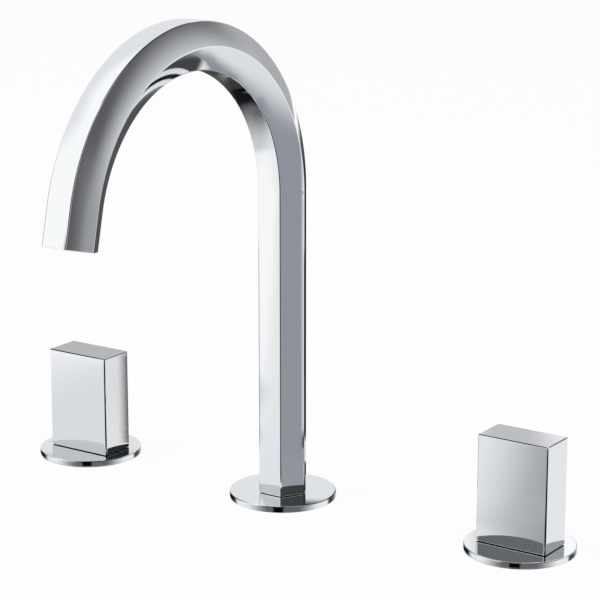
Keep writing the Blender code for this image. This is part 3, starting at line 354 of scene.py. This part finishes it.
def spout_grid():
    """Rings up the outside from foot to outlet, then back down the stepped waterway."""
    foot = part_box("spout_tube")[0].z - BEND_HEIGHT
    rise = np.concatenate([foot + TUBE_END * (1 - np.sin(quarter[::-1])),
                           [foot + TUBE_END + SUPPORT],
                           np.linspace(foot + RISER_START, 0, RISER_RINGS)[:-1]])
    fall = np.concatenate([np.linspace(0, TAIL - TAIL_STOP, TAIL_RINGS)[1:],
                           [TAIL - TUBE_END - SUPPORT],
                           TAIL - TUBE_END * (1 - np.sin(quarter))])
    bend = np.linspace(0, BEND_TURN, BEND_STEPS + 1)
    turn = np.concatenate([np.zeros(len(rise)), bend, np.full(len(fall), BEND_TURN)])
    beyond = np.concatenate([rise, np.zeros(len(bend)), fall])
    inset = np.zeros(len(turn))
    inset[:len(quarter)] = TUBE_END * (1 - np.cos(quarter[::-1]))
    inset[-len(quarter):] = TUBE_END * (1 - np.cos(quarter))
    outside = swept(turn, beyond, spout_points - inset[:, None, None] * spout_normals)
    back = np.linspace(BEND_TURN, 0, BORE_STEPS + 1)
    socket_floor, socket_top = TAIL - OUTLET_SOCKET_DEPTH, foot + FOOT_SOCKET_DEPTH
    bore_radius = np.concatenate([OUTLET_SOCKET + BORE_END * (1 - np.sin(quarter)), [OUTLET_SOCKET],
                                  np.full(len(back) + 2, WATERWAY), [FOOT_SOCKET],
                                  FOOT_SOCKET + BORE_END * (1 - np.cos(quarter))])
    bore_beyond = np.concatenate([TAIL - BORE_END * (1 - np.cos(quarter)), [socket_floor, socket_floor],
                                  np.zeros(len(back)), [socket_top, socket_top],
                                  foot + BORE_END * (1 - np.sin(quarter))])
    bore_turn = np.concatenate([np.full(len(quarter) + 2, BEND_TURN), back, np.zeros(len(quarter) + 2)])
    polar = unit(np.arctan2(spout_points[:, 1], spout_points[:, 0]))
    inside = swept(bore_turn, bore_beyond, bore_radius[:, None, None] * polar)
    return np.concatenate([outside, inside])


add_piece("spout_gooseneck", closed_mesh("spout_gooseneck", spout_grid()), chrome,
          "faucet_body", "polished_chrome", "spout_tube")

# %% [markdown]
# Each flange is a brass disc turned on a lathe, with its edge broken by a small radius and a
# pocket below for the gasket. A lathe part is an outline carried round an axis, so the outline is
# written as a designer would dimension it, corner by corner with a rounding for each, and 256
# segments keep the rim round in a mirror.

# %% The flanges
FLANGE_SEGMENTS = 256
FLANGE_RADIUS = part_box("spout_flange")[1].x
FLANGE_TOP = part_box("spout_flange")[1].z
FLANGE_EDGE = 0.45 * MM
BROKEN_EDGE = 0.06 * MM
LAND = 2.0 * MM
POCKET = 1.4 * MM
SKIRT_BORE, SKIRT = 14.3 * MM, 16.0 * MM
BUSH_HOLE, BUSH_SEAT_RADIUS = 7.1 * MM, 8.9 * MM
BUSH_SEAT_DEPTH = 1.0 * MM
BUSH_SEAT = FLANGE_TOP - BUSH_SEAT_DEPTH
SKIRT_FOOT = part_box("hot_flange")[0].z

spout_flange = round_outline(
    [(FLANGE_RADIUS, 0.0), (FLANGE_RADIUS, FLANGE_TOP), (FOOT_SOCKET, FLANGE_TOP),
     (FOOT_SOCKET, POCKET), (FLANGE_RADIUS - LAND, POCKET), (FLANGE_RADIUS - LAND, 0.0)],
    [BROKEN_EDGE, FLANGE_EDGE] + [BROKEN_EDGE] * 4)
valve_flange = round_outline(
    [(FLANGE_RADIUS, 0.0), (FLANGE_RADIUS, FLANGE_TOP), (BUSH_SEAT_RADIUS, FLANGE_TOP),
     (BUSH_SEAT_RADIUS, BUSH_SEAT), (BUSH_HOLE, BUSH_SEAT), (BUSH_HOLE, POCKET), (SKIRT_BORE, POCKET),
     (SKIRT_BORE, SKIRT_FOOT), (SKIRT, SKIRT_FOOT), (SKIRT, POCKET), (FLANGE_RADIUS - LAND, POCKET),
     (FLANGE_RADIUS - LAND, 0.0)],
    [BROKEN_EDGE, FLANGE_EDGE] + [BROKEN_EDGE] * 10)
grid = turned_grid(spout_flange, FLANGE_SEGMENTS)
add_piece("spout_round_flange", closed_mesh("spout_round_flange", grid), chrome,
          "faucet_body", "polished_chrome", "spout_flange")
for side in ("hot", "cold"):
    low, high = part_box(f"{side}_flange")
    grid = turned_grid(valve_flange, FLANGE_SEGMENTS, (low.x + high.x) / 2)
    add_piece(f"{side}_round_flange", closed_mesh(f"{side}_round_flange", grid), chrome,
              "faucet_body", "polished_chrome", f"{side}_flange")

# %% [markdown]
# The handles are plain blocks of brass, milled square, with their edges broken before polishing.
# A block is a rounded rectangle carried upwards: at the top and the foot it draws in along a
# quarter circle, exactly as a rounding cutter would leave it. Its round socket is made of further
# rings inside the foot.

# %% The block handles
BLOCK_CORNER = 0.75 * MM     # upright edges
BLOCK_EDGE = 0.5 * MM        # edges round the top
BLOCK_FOOT_EDGE = 0.12 * MM  # edges round the foot, barely broken, so that the gap stays a fine line
SOCKET_RADIUS = 6.5 * MM
SOCKET_HEIGHT = 21.0 * MM
WALL_MARGIN = 4.0 * MM       # from the top or the foot to the wall's even rings
WALL_RINGS = 6
WALL_POINTS, ROUND_POINTS = 12, 8
TOP_SHARES = (0.2, 0.6, 0.9, 0.99)      # how far out each ring on the top lies
SOLE_SHARE = 0.99                       # and the outer ring on the sole


def rounded_rectangle(half_width, half_depth, radius):
    """Points and normals of a rectangle with round corners: four straight sides, sampled closer
    towards their ends, and four quarter circles about centres set in by the radius."""
    reach = np.array([half_width, half_depth] * 2)[:, None]
    length = np.array([half_depth, half_width] * 2)[:, None] - radius
    start = np.pi / 2 * np.arange(4)[:, None]
    along = np.sin(np.linspace(-np.pi / 2, np.pi / 2, WALL_POINTS))
    side = reach[..., None] * unit(start) + (length * along)[..., None] * unit(start + np.pi / 2)
    turn = np.linspace(0, np.pi / 2, ROUND_POINTS + 2)[1:-1]
    centre = (reach - radius)[..., None] * unit(start) + length[..., None] * unit(start + np.pi / 2)
    corner = centre + radius * unit(start + turn)
    normals = np.concatenate([np.broadcast_to(unit(start), side.shape), unit(start + turn)], axis=1)
    return np.concatenate([side, corner], axis=1).reshape(-1, 2), normals.reshape(-1, 2)


def block_grid(low, high):
    """Rings from the top's middle outwards, down the walls, in under the foot and up the socket."""
    middle_x = (low.x + high.x) / 2
    outline, normals = rounded_rectangle((high.x - low.x) / 2, (high.y - low.y) / 2, BLOCK_CORNER)
    drawn_in = outline - BLOCK_EDGE * normals
    polar = unit(np.arctan2(outline[:, 1], outline[:, 0]))
    top = [(drawn_in * share, high.z) for share in TOP_SHARES]
    shoulder = [(outline - BLOCK_EDGE * (1 - math.cos(a)) * normals,
                 high.z - BLOCK_EDGE * (1 - math.sin(a))) for a in quarter[::-1]]
    heights = [high.z - BLOCK_EDGE - SUPPORT,
               *np.linspace(high.z - WALL_MARGIN, low.z + WALL_MARGIN, WALL_RINGS),
               low.z + BLOCK_FOOT_EDGE + SUPPORT]
    walls = [(outline, height) for height in heights]
    foot = [(outline - BLOCK_FOOT_EDGE * (1 - math.cos(a)) * normals,
             low.z + BLOCK_FOOT_EDGE * (1 - math.sin(a))) for a in quarter]
    sole = [(drawn_in * SOLE_SHARE, low.z), (polar * (SOCKET_RADIUS + BORE_END), low.z)]
    socket = [(polar * SOCKET_RADIUS, low.z + BORE_END), (polar * SOCKET_RADIUS, low.z + SOCKET_HEIGHT),
              (polar * SOCKET_RADIUS / 2, low.z + SOCKET_HEIGHT)]
    rings = [np.column_stack([flat + (middle_x, 0.0), np.full(len(flat), height)])
             for flat, height in top + shoulder + walls + foot + sole + socket]
    return np.array(rings)


low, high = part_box("hot_handle")
print("a block's grid:", block_grid(low, high).shape, "rings, points, axes")

# %% [markdown]
# Two things are left to do to a block. The small hole for the locking screw, in the back that
# nobody sees, is the one cut here that a Boolean makes best. And the underside gets painted shade:
# a dark, dull material, so that the gap above the flange reads as one black line.

# %% The screw hole and the painted shade under the foot
SCREW_HOLE_RADIUS = 2.3 * MM
SCREW_HOLE_HEIGHT = 9.0 * MM
SCREW_HOLE_START = 3.0 * MM
SCREW_HOLE_OVERRUN = 1.0 * MM
SCREW_HOLE_SEGMENTS = 48
FACES_DOWN = -0.3            # a face whose normal is steeper than this belongs to the underside


def cut_screw_hole(mesh, low, high):
    """Take a cylinder away from the block's back, through to the socket, and keep the mesh."""
    height = low.z + SCREW_HOLE_HEIGHT
    ring = SCREW_HOLE_RADIUS * unit(2 * np.pi * np.arange(SCREW_HOLE_SEGMENTS) / SCREW_HOLE_SEGMENTS)
    ends = (SCREW_HOLE_START, high.y + SCREW_HOLE_OVERRUN)
    grid = np.array([np.column_stack([ring[:, 0] + (low.x + high.x) / 2, np.full(len(ring), depth),
                                      ring[:, 1] + height]) for depth in ends])
    block, cutter = (bpy.data.objects.new(name, data) for name, data in (
        ("block_blank", mesh), ("screw_hole", closed_mesh("screw_hole", grid, poles=True))))
    for thing in (block, cutter):
        bpy.context.scene.collection.objects.link(thing)
    hole = block.modifiers.new("screw_hole", "BOOLEAN")
    hole.object, hole.operation, hole.solver = cutter, "DIFFERENCE", "EXACT"
    bpy.context.view_layer.update()
    graph = bpy.context.evaluated_depsgraph_get()
    drilled = bpy.data.meshes.new_from_object(block.evaluated_get(graph))
    bpy.data.objects.remove(block)
    bpy.data.objects.remove(cutter)
    drilled.set_sharp_from_angle(angle=SHARP)
    return drilled


def paint_sole_shade(mesh, level, material):
    """Give the faces under the foot, and its barely broken edge, a second material: a dark one that paints
    the gap's shade.
    """
    count = len(mesh.polygons)
    normals, middles = np.empty(count * 3), np.empty(count * 3)
    mesh.polygons.foreach_get("normal", normals)
    mesh.polygons.foreach_get("center", middles)
    under = (normals[2::3] < FACES_DOWN) & (middles[2::3] < level + BLOCK_FOOT_EDGE)
    mesh.materials.append(material)
    mesh.polygons.foreach_set("material_index", under.astype(np.int32))
    print("  of its faces,", int(under.sum()), "make the dull sole")


# Painted shade: a dark, dull material under the foot, so that no light comes back out of the gap
painted_gap_shade = satin("painted_shade_under_the_handle", "#232427", "#191A1C", 0.0, 0.6, 0.5, 0.01)
for side in ("hot", "cold"):
    low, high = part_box(f"{side}_handle")
    blank = closed_mesh(f"{side}_block", block_grid(low, high), poles=True)
    handle = add_piece(f"{side}_block_handle", cut_screw_hole(blank, low, high), chrome,
                       f"{side}_handle", "polished_chrome", f"{side}_handle")
    paint_sole_shade(handle.data, low.z, painted_gap_shade)

# %% [markdown]
# The pieces that stay as the CAD made them still need the look of their stuff. They are hidden
# below the deck or inside the valves, and a visitor who takes the faucet apart finds turned
# brass, satin steel, moulded rubber, nylon, acetal and lapped ceramic. Brass gets its own recipe,
# with the rings that a lathe tool leaves, and the others differ in tone, shine and grain.

# %% Turned brass, satin steel, rubber, plastics and ceramic
RING_PITCH = 3.77       # mm from ring to ring, coarser than a real tool's marks, so that it shows
WAVE_RADIANS = 20       # radians that a wave texture turns through in one unit of its scale
RING_DEPTH = 0.01       # mm
PATINA_PATCH = 7.0      # mm


def turned_brass():
    """Bare brass from the lathe: warm metal, with the rings that the tool leaves round it."""
    material, tree, shader = new_material("turned_brass_unplated")
    place = add_node(tree, "ShaderNodeTexCoord").outputs["Object"]
    rings = add_node(tree, "ShaderNodeTexWave", {
        "Vector": place, "Scale": 2 * math.pi * per(RING_PITCH) / WAVE_RADIANS, "Distortion": 1.5,
        "Detail": 2.0, "Detail Scale": 0.4}, bands_direction="Z")
    patina = add_node(tree, "ShaderNodeTexNoise", {
        "Vector": place, "Scale": per(PATINA_PATCH), "Detail": 4.0})
    tone = add_node(tree, "ShaderNodeMix", {
        "Factor": patina.outputs["Fac"], "A": linear("#D9B96E"), "B": linear("#B98F45")}, data_type="RGBA")
    rough = add_node(tree, "ShaderNodeMapRange", {
        "Value": patina.outputs["Fac"], "From Min": 0.3, "From Max": 0.7, "To Min": 0.2, "To Max": 0.36})
    bump = add_node(tree, "ShaderNodeBump", {
        "Height": rings.outputs["Fac"], "Strength": 0.4, "Distance": RING_DEPTH * MM})
    shader.inputs["Metallic"].default_value = 1.0
    tree.links.new(tone.outputs["Result"], shader.inputs["Base Color"])
    tree.links.new(rough.outputs["Result"], shader.inputs["Roughness"])
    tree.links.new(bump.outputs["Normal"], shader.inputs["Normal"])
    return material


finishes = {
    # A mirror, cool and slightly dimmed
    "polished_chrome": chrome,
    # Warm yellow metal, with rings that catch the light
    "machined_brass": turned_brass(),
    # Pale grey metal, whose highlights spread softly
    "stainless_steel": satin("satin_stainless_steel", "#C4C6C8", "#B2B4B7", 1.0, 0.3, 0.5, 0.01),
    # Nearly black and dull, so that hardly any light comes back
    "black_rubber": satin("moulded_nitrile_rubber", "#26262A", "#1C1C1F", 0.0, 0.72, 0.4, 0.02),
    # Milky white, with the soft shine that a mould leaves
    "white_nylon": satin("moulded_white_nylon", "#EDEDE8", "#E2E2DC", 0.0, 0.42, 0.7, 0.01),
    # Black too, but smoother than the rubber, so that its edges glint
    "black_acetal": satin("turned_black_acetal", "#2B2B2E", "#202023", 0.0, 0.35, 0.3, 0.006),
    # Lapped flat until it seals, so that both discs shine like wet stone
    "white_ceramic": satin("lapped_white_alumina", "#F0EFEA", "#E7E5DF", 0.0, 0.16, 0.3, 0.002),
    "grey_ceramic": satin("lapped_grey_alumina", "#A2A5AA", "#93969B", 0.0, 0.16, 0.3, 0.002),
}
for subpart in frame["record"]["subparts"]:
    node = frame["nodes"][subpart["node"]]
    for place in node.material_slots:
        place.material = finishes[subpart["material_slot"]]

# %% [markdown]
# The floor stands for the deck: plain, pale and endless. Its own white is lifted for the camera
# and for reflections only, so that the picture has a clean white ground, while the share that
# stays diffuse still shows the faucet's shadow. The world does the same above the horizon. Two
# large soft lamps light everything that isn't a mirror, at a level where a colour comes out about
# as it is written.

# %% Floor, world and lamps
FLOOR_HALF = 6.0
FLOOR_LIFT = 0.94           # share of the floor's look that is plain white light
WORLD_LEVEL = 0.55


def seen_directly(tree):
    """One where a camera, glossy or transmission ray looks, and zero for the light that falls."""
    path = add_node(tree, "ShaderNodeLightPath")
    either = add_node(tree, "ShaderNodeMath", {
        0: path.outputs["Is Camera Ray"], 1: path.outputs["Is Glossy Ray"]}, operation="MAXIMUM")
    any_look = add_node(tree, "ShaderNodeMath", {
        0: either.outputs[0], 1: path.outputs["Is Transmission Ray"]}, operation="MAXIMUM")
    return any_look.outputs[0]


floor_mesh = bpy.data.meshes.new("floor")
floor_corners = [(x * FLOOR_HALF, y * FLOOR_HALF, 0.0) for x, y in ((-1, -1), (1, -1), (1, 1), (-1, 1))]
floor_mesh.from_pydata(floor_corners, [], [(0, 1, 2, 3)])
floor = bpy.data.objects.new("floor", floor_mesh)
bpy.context.scene.collection.objects.link(floor)
floor_white, tree, shader = new_material("plain_white_floor")
shader.inputs["Base Color"].default_value = linear("#FAFAFA")
shader.inputs["Roughness"].default_value = 0.9
shader.inputs["Specular IOR Level"].default_value = 0.0
lift = add_node(tree, "ShaderNodeMath", {0: seen_directly(tree), 1: FLOOR_LIFT}, operation="MULTIPLY")
white = add_node(tree, "ShaderNodeEmission", {"Color": linear("#FFFFFF"), "Strength": 1.0})
mixed = add_node(tree, "ShaderNodeMixShader", {
    0: lift.outputs[0], 1: shader.outputs["BSDF"], 2: white.outputs["Emission"]})
tree.links.new(mixed.outputs["Shader"], tree.nodes["Material Output"].inputs["Surface"])
floor_mesh.materials.append(floor_white)

world = bpy.data.worlds.new("white_room")
bpy.context.scene.world = world
world.use_nodes = True
tree = world.node_tree
level = add_node(tree, "ShaderNodeMapRange", {
    "Value": seen_directly(tree), "To Min": WORLD_LEVEL, "To Max": 1.0})
tree.links.new(level.outputs["Result"], tree.nodes["Background"].inputs["Strength"])
tree.nodes["Background"].inputs["Color"].default_value = linear("#FFFFFF")


def soft_lamp(name, place, size, watts):
    """A square area lamp turned towards the faucet; the chrome doesn't show it."""
    lamp = bpy.data.objects.new(name, bpy.data.lights.new(name, "AREA"))
    lamp.data.size = size
    lamp.data.energy = watts
    lamp.location = place
    lamp.rotation_euler = (-lamp.location).to_track_quat("-Z", "Y").to_euler()
    lamp.visible_glossy = False
    lamp.visible_camera = False
    bpy.context.scene.collection.objects.link(lamp)


soft_lamp("soft_lamp_left", (-0.9, -0.9, 1.5), 1.2, 9.0)
soft_lamp("soft_lamp_right", (1.1, -0.3, 1.5), 1.2, 6.0)
print("floor", 2 * FLOOR_HALF, "m wide, world level", WORLD_LEVEL)

# %% [markdown]
# Now the room that the chrome shows. A photographer shapes chrome with cards: grey and black
# boards, set up or laid down around the piece just outside the picture, that only the metal
# sees. Each card here is a thin board whose edges fade, because a hard edge would draw a line
# across every face. They are seen by reflections alone, so the floor stays white, no shadow of
# them falls, and the faucet's plain light isn't touched.

# %% A card and the ways it can stand
CARD_CELLS = 48          # cells of a card's grid each way, enough for a smooth fade


def ramp(distance, width):
    """Rise smoothly from zero at an edge to one at a width from it: 3 t squared minus 2 t cubed."""
    t = np.clip(distance / width, 0, 1)
    return t * t * (3 - 2 * t)


def lying(turn):
    """The two axes of a board that lies flat, turned by degrees about the upright axis."""
    a = math.radians(turn)
    return np.array([[math.cos(a), math.sin(a), 0], [-math.sin(a), math.cos(a), 0]])


def standing(turn):
    """The two axes of a board that stands upright, turned by degrees about the upright axis."""
    a = math.radians(turn)
    return np.array([[math.cos(a), math.sin(a), 0], [0, 0, 1]])


def facing(direction):
    """The two axes of a board square to a direction: one level, one square to both."""
    across = np.cross(direction, (0, 0, 1))
    across = across / np.linalg.norm(across)
    return np.array([across, np.cross(across, direction)])


def stand_board(name, points, look):
    """Put a board into the room, from a grid of points in mm and each point's colour and cover."""
    index = np.arange(points[..., 0].size).reshape(points.shape[:2])
    quads = np.stack([index[:-1, :-1], index[:-1, 1:], index[1:, 1:], index[1:, :-1]], axis=-1)
    mesh = bpy.data.meshes.new(name)
    mesh.from_pydata((points * MM).reshape(-1, 3).tolist(), [], quads.reshape(-1, 4).tolist())
    mesh.attributes.new("card_look", "FLOAT_COLOR", "POINT").data.foreach_set("color", look.ravel())
    mesh.materials.append(card_board)
    board = bpy.data.objects.new(name, mesh)
    for ray in ("camera", "diffuse", "transmission", "volume_scatter", "shadow"):
        setattr(board, "visible_" + ray, False)
    bpy.context.scene.collection.objects.link(board)


def card(name, middle, size, axes, colour, fades):
    """A soft-edged board as a grid, in mm. Four fades are the widths of its soft edges at left,
    right, foot and top, and a single one is the soft rim of a disc."""
    u, v = np.meshgrid(*[np.linspace(-0.5, 0.5, CARD_CELLS + 1)] * 2)
    across, up = u * size[0], v * size[1]
    points = np.array(middle) + across[..., None] * axes[0] + up[..., None] * axes[1]
    if len(fades) == 1:
        cover = ramp(size[0] / 2 - np.hypot(across, up), fades[0])
    else:
        half_width, half_height = size[0] / 2, size[1] / 2
        cover = ramp(across + half_width, fades[0]) * ramp(half_width - across, fades[1])
        cover = cover * ramp(up + half_height, fades[2]) * ramp(half_height - up, fades[3])
    look = np.tile(linear(colour), (*u.shape, 1))
    look[..., 3] = cover
    stand_board(name, points, look)


card_board, tree, shader = new_material("soft_edged_card")
tree.nodes.remove(shader)
board_look = add_node(tree, "ShaderNodeAttribute", attribute_name="card_look")
board_light = add_node(tree, "ShaderNodeEmission", {
    "Color": board_look.outputs["Color"], "Strength": 1.0})
board_gap = add_node(tree, "ShaderNodeBsdfTransparent")
board_mix = add_node(tree, "ShaderNodeMixShader", {
    0: board_look.outputs["Alpha"], 1: board_gap.outputs[0], 2: board_light.outputs[0]})
tree.links.new(board_mix.outputs[0], tree.nodes["Material Output"].inputs["Surface"])
print("a card has", CARD_CELLS, "cells each way")

# %% [markdown]
# The mirror law tells where each face of the faucet looks, and the tone that a face should show
# is the tone of the card to put there. Places and tones were tried out in this way against the
# photograph, face by face. A row gives a card's name, its middle and its size in mm, the way it
# stands or lies, its tone and how wide its edges fade. The cards on the floor lie a fraction of a
# millimetre above it, and where two of them overlap, the higher one hides the other.

# %% Large cards
CARDS = [
    # name, middle, size, axes, tone, fades
    # The wall at the right and back: mid grey, darker towards the front, with a pale round board
    ("wall_far", (850, 780, 700), (5200, 2400), standing(-45), "#AEAFB1", (400, 400, 1, 400)),
    ("wall_dark", (1746, -196, 1400), (4580, 3400), standing(-45), "#5C5D5F", (480, 11.6, 1, 109)),
    ("wall_round", (973, 505, -400), (3140, 3140), standing(-45), "#EEEFF1", (600,)),
    ("wall_shade", (726, 287, 181), (1319, 712), standing(90), "#969799", (167, 200, 1, 511)),
    # A pale wall at the left and back, for the outside of the bend
    ("back_left_sky", (-2460, 434, 1500), (6400, 4600), standing(80), "#E6E7E9", (1600, 300, 1, 900)),
    # The floor in front and on the right, for the riser and the fronts of the handles
    ("floor_right", (331, -52, 0.2), (500, 85), lying(4), "#85878B", (70, 120, 50, 23)),
    ("floor_cold_front", (-23, -578, 0.4), (259, 1186), lying(-25), "#A7A8AA", (44, 34, 108, 100)),
    ("floor_cold_near", (131, -27, 0.7), (60, 34), lying(0), "#9A9BA0", (44, 4, 12, 3)),
    ("floor_hot_front", (-190, -74, 0.5), (220, 210), lying(-4), "#DFE0E2", (125, 40, 40, 30)),
    ("floor_front_left", (137, -241, 0.1), (638, 1774), lying(-25), "#EAEBED", (96, 78, 225, 120)),
    ("floor_foot", (62, -12, 0.6), (74, 48), lying(0), "#9798A1", (8, 16, 8, 8)),
    # The floor behind and at the left, for the underside of the bend
    ("floor_black_spot", (79, 306, 0.5), (221, 200), lying(30), "#424345", (3, 63, 33, 25)),
    ("floor_back_left", (-425, 773, 0.3), (1249, 1713), lying(-10), "#505153", (160, 260, 481, 524)),
    ("floor_left_black", (-204, 96, 0.6), (230, 49), lying(-58), "#3A3B3D", (30, 3, 7.2, 24)),
    ("floor_left_dark", (-345, 349, 0.4), (79, 1039), lying(30), "#37383A", (69, 32, 37, 60)),
    ("floor_hot_side", (-152, 118, 0.2), (126, 212), lying(14), "#000000", (32, 53, 45, 40)),
    # A board lying in the air behind the riser, and two standing beside the hot handle, for the bend
    ("bend_right_board", (153, 49, 102), (306, 165), lying(-66), "#E2E3E5", (80, 77, 34, 34)),
    ("inner_black_board", (-82, -23, 81), (87, 69), standing(90), "#151618", (58, 14, 3.4, 12.2)),
    ("inner_grey_board", (-74, -52, 30), (89, 209), standing(90), "#646567", (66, 24, 18.2, 74)),
    # Low boards that the pools at the feet show by way of the flanges
    ("low_left_front", (-325, -368, 158), (330, 44), standing(-10), "#CBCCCE", (30, 30, 8, 8)),
    ("low_cold_front", (-80, -405, 178), (130, 50), standing(-28), "#6A6B6D", (20, 20, 8, 8)),
    ("low_hot_back", (-21, 99, 48), (80, 44), standing(-39), "#28292B", (12, 12, 6, 8)),
    ("low_cold_back", (210, 112, 55), (80, 44), standing(-27), "#9D9EA0", (12, 12, 6, 8)),
    ("riser_dark", (60, -4, 26), (60, 34), standing(90), "#3F4042", (10, 10, 3, 8)),
    # Boards beside the riser: its right face, and the dark lines on its middle and right edges
    ("riser_shade", (28, -29, 105), (60, 180), standing(90), "#94959E", (36, 2.6, 3, 25)),
    ("riser_light_board", (29, 4.5, 83), (22, 114), standing(90), "#EAEBED", (3, 8, 6, 15)),
    ("riser_ridge_board", (18.9, -38, 80), (56, 180), standing(25), "#181A1C", (5, 5, 3, 20)),
    ("riser_edge_board", (41, 41, 54), (80, 128), standing(-35), "#090A0C", (10, 10, 3, 12)),
    ("riser_back_board", (-3, 32, 94), (26, 152), standing(25), "#1E1F21", (4, 4, 4, 20)),
    ("floor_edge_right", (35, 34, 0.7), (50, 20), lying(55), "#181A1C", (4, 8, 4, 4)),
    ("floor_edge_back", (-6, 38, 0.7), (36, 16), lying(115), "#181A1C", (4, 8, 4, 4)),
    # Small boards behind the handles, for their tops and for the hot one's side
    ("hot_top_board", (-204, 86, 86), (82, 85), standing(40), "#BABBBD", (21, 11.6, 8, 10)),
    ("cold_top_board", (69, 109, 62), (55, 201), standing(30), "#C1C2C5", (16.6, 24, 10, 10)),
    ("hot_side_back", (-93, 23, 23), (14, 58), standing(-39), "#252628", (2, 8, 1, 6)),
    # Dark boards at the camera's side and overhead, for the thin dark lines along the edges
    ("camera_side", (337, -911, 950), (1040, 1900), standing(22), "#0C0D0F", (160, 160, 1, 200)),
    ("overhead", (0, 450, 1500), (1300, 2400), lying(0), "#0C0D0F", (160, 160, 160, 250)),
    ("left_side", (-700, -100, 150), (700, 300), standing(90), "#3C3D3F", (100, 100, 1, 60)),
]
for row in CARDS:
    card(*row)
print(len(CARDS), "large cards")

# %% [markdown]
# The dark lines along the handles' edges come from boards too. The middle of an edge's rounding
# looks in the direction that the mirror law gives for the camera's ray, so a small black board is
# put there, close by, square to that ray.

# %% Small boards for the handles' edges
EDGE_TONE = "#08080A"
EDGE_FADES = (8, 8, 6, 6)
EDGE_BOARDS = [
    # handle, edge, direction in which the edge faces, distance in mm, size in mm
    ("hot", "corner", (1, -1, 0), 18, (64, 54)),
    ("cold", "corner", (1, -1, 0), 18, (64, 54)),
    ("hot", "top_front", (0, -1, 1), 22, (64, 56)),
    ("cold", "top_front", (0, -1, 1), 22, (64, 56)),
    ("hot", "top_side", (1, 0, 1), 30, (36, 30)),
    ("cold", "top_side", (1, 0, 1), 20, (26, 22)),
]


def mirrored(point, normal):
    """The direction in which the camera sees by way of a mirror: the ray less twice its part
    along the normal."""
    ray = np.array(point) - np.array(CAMERA_PLACE)
    ray, normal = ray / np.linalg.norm(ray), np.array(normal) / np.linalg.norm(normal)
    return ray - 2 * (ray @ normal) * normal


for side, kind, normal, distance, size in EDGE_BOARDS:
    low, high = (np.array(corner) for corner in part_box(f"{side}_handle"))
    edge = (low + high) / 2 + (high - low) / 2 * normal
    direction = mirrored(edge, normal)
    card(f"{side}_{kind}_board", edge / MM + direction * distance, size, facing(direction),
         EDGE_TONE, EDGE_FADES)
print(len(EDGE_BOARDS), "boards for edges")

# %% [markdown]
# A rim is a mirror bent round a circle, so it squeezes the whole room into a band three
# millimetres high. Each flange gets a low band of card bent round it, a hair outside the rim. The
# band is pale, as a studio is, and four soft-edged strips on it stand for what makes a rim dark:
# the dim half of the room, the camera in its middle, and a stand at either side. It is lower than
# the rim, so no other face shows it.

# %% Bands round the rims
RIM_GAP = 0.3            # mm between the rim and its band
RIM_BAND_HEIGHT = 2.9    # mm
RIM_POINTS = 361         # one every half degree
RIM_BASE = "#EEEFF1"
RIM_STRIPS = [
    # what it stands for, from and to in degrees from the camera's side, tone, widths of its fades
    ("dim half", -45, 45, "#646567", (30, 30)),
    ("camera", -12, 2, "#08080A", (3, 3)),
    ("left stand", -110, -55, "#18191B", (12, 12)),
    ("right stand", 55, 95, "#46474A", (6, 30)),
]
rim_turn = np.linspace(-90, 90, RIM_POINTS)
rim_look = np.tile(linear(RIM_BASE), (RIM_POINTS, 1))
for _, start, end, tone, fades in RIM_STRIPS:
    cover = (ramp(rim_turn - start, fades[0]) * ramp(end - rim_turn, fades[1]))[:, None]
    rim_look = rim_look * (1 - cover) + np.array(linear(tone)) * cover
for place in ("hot", "spout", "cold"):
    low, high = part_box(f"{place}_flange")
    middle = np.array([(low.x + high.x) / 2, 0.0, 0.0])
    camera_side = math.atan2(CAMERA_PLACE[0] - middle[0], -CAMERA_PLACE[1])
    angle = np.radians(rim_turn) + camera_side
    outwards = np.column_stack([np.sin(angle), -np.cos(angle), np.zeros(RIM_POINTS)])
    ring = middle / MM + (FLANGE_RADIUS / MM + RIM_GAP) * outwards
    band = np.stack([ring, ring + (0, 0, RIM_BAND_HEIGHT)])
    stand_board(f"{place}_rim_band", band, np.stack([rim_look] * 2))
print("bands round three rims, with strips for", [row[0] for row in RIM_STRIPS])

# %% [markdown]

# %% Settings
bpy.context.scene.view_settings.view_transform = "Standard"
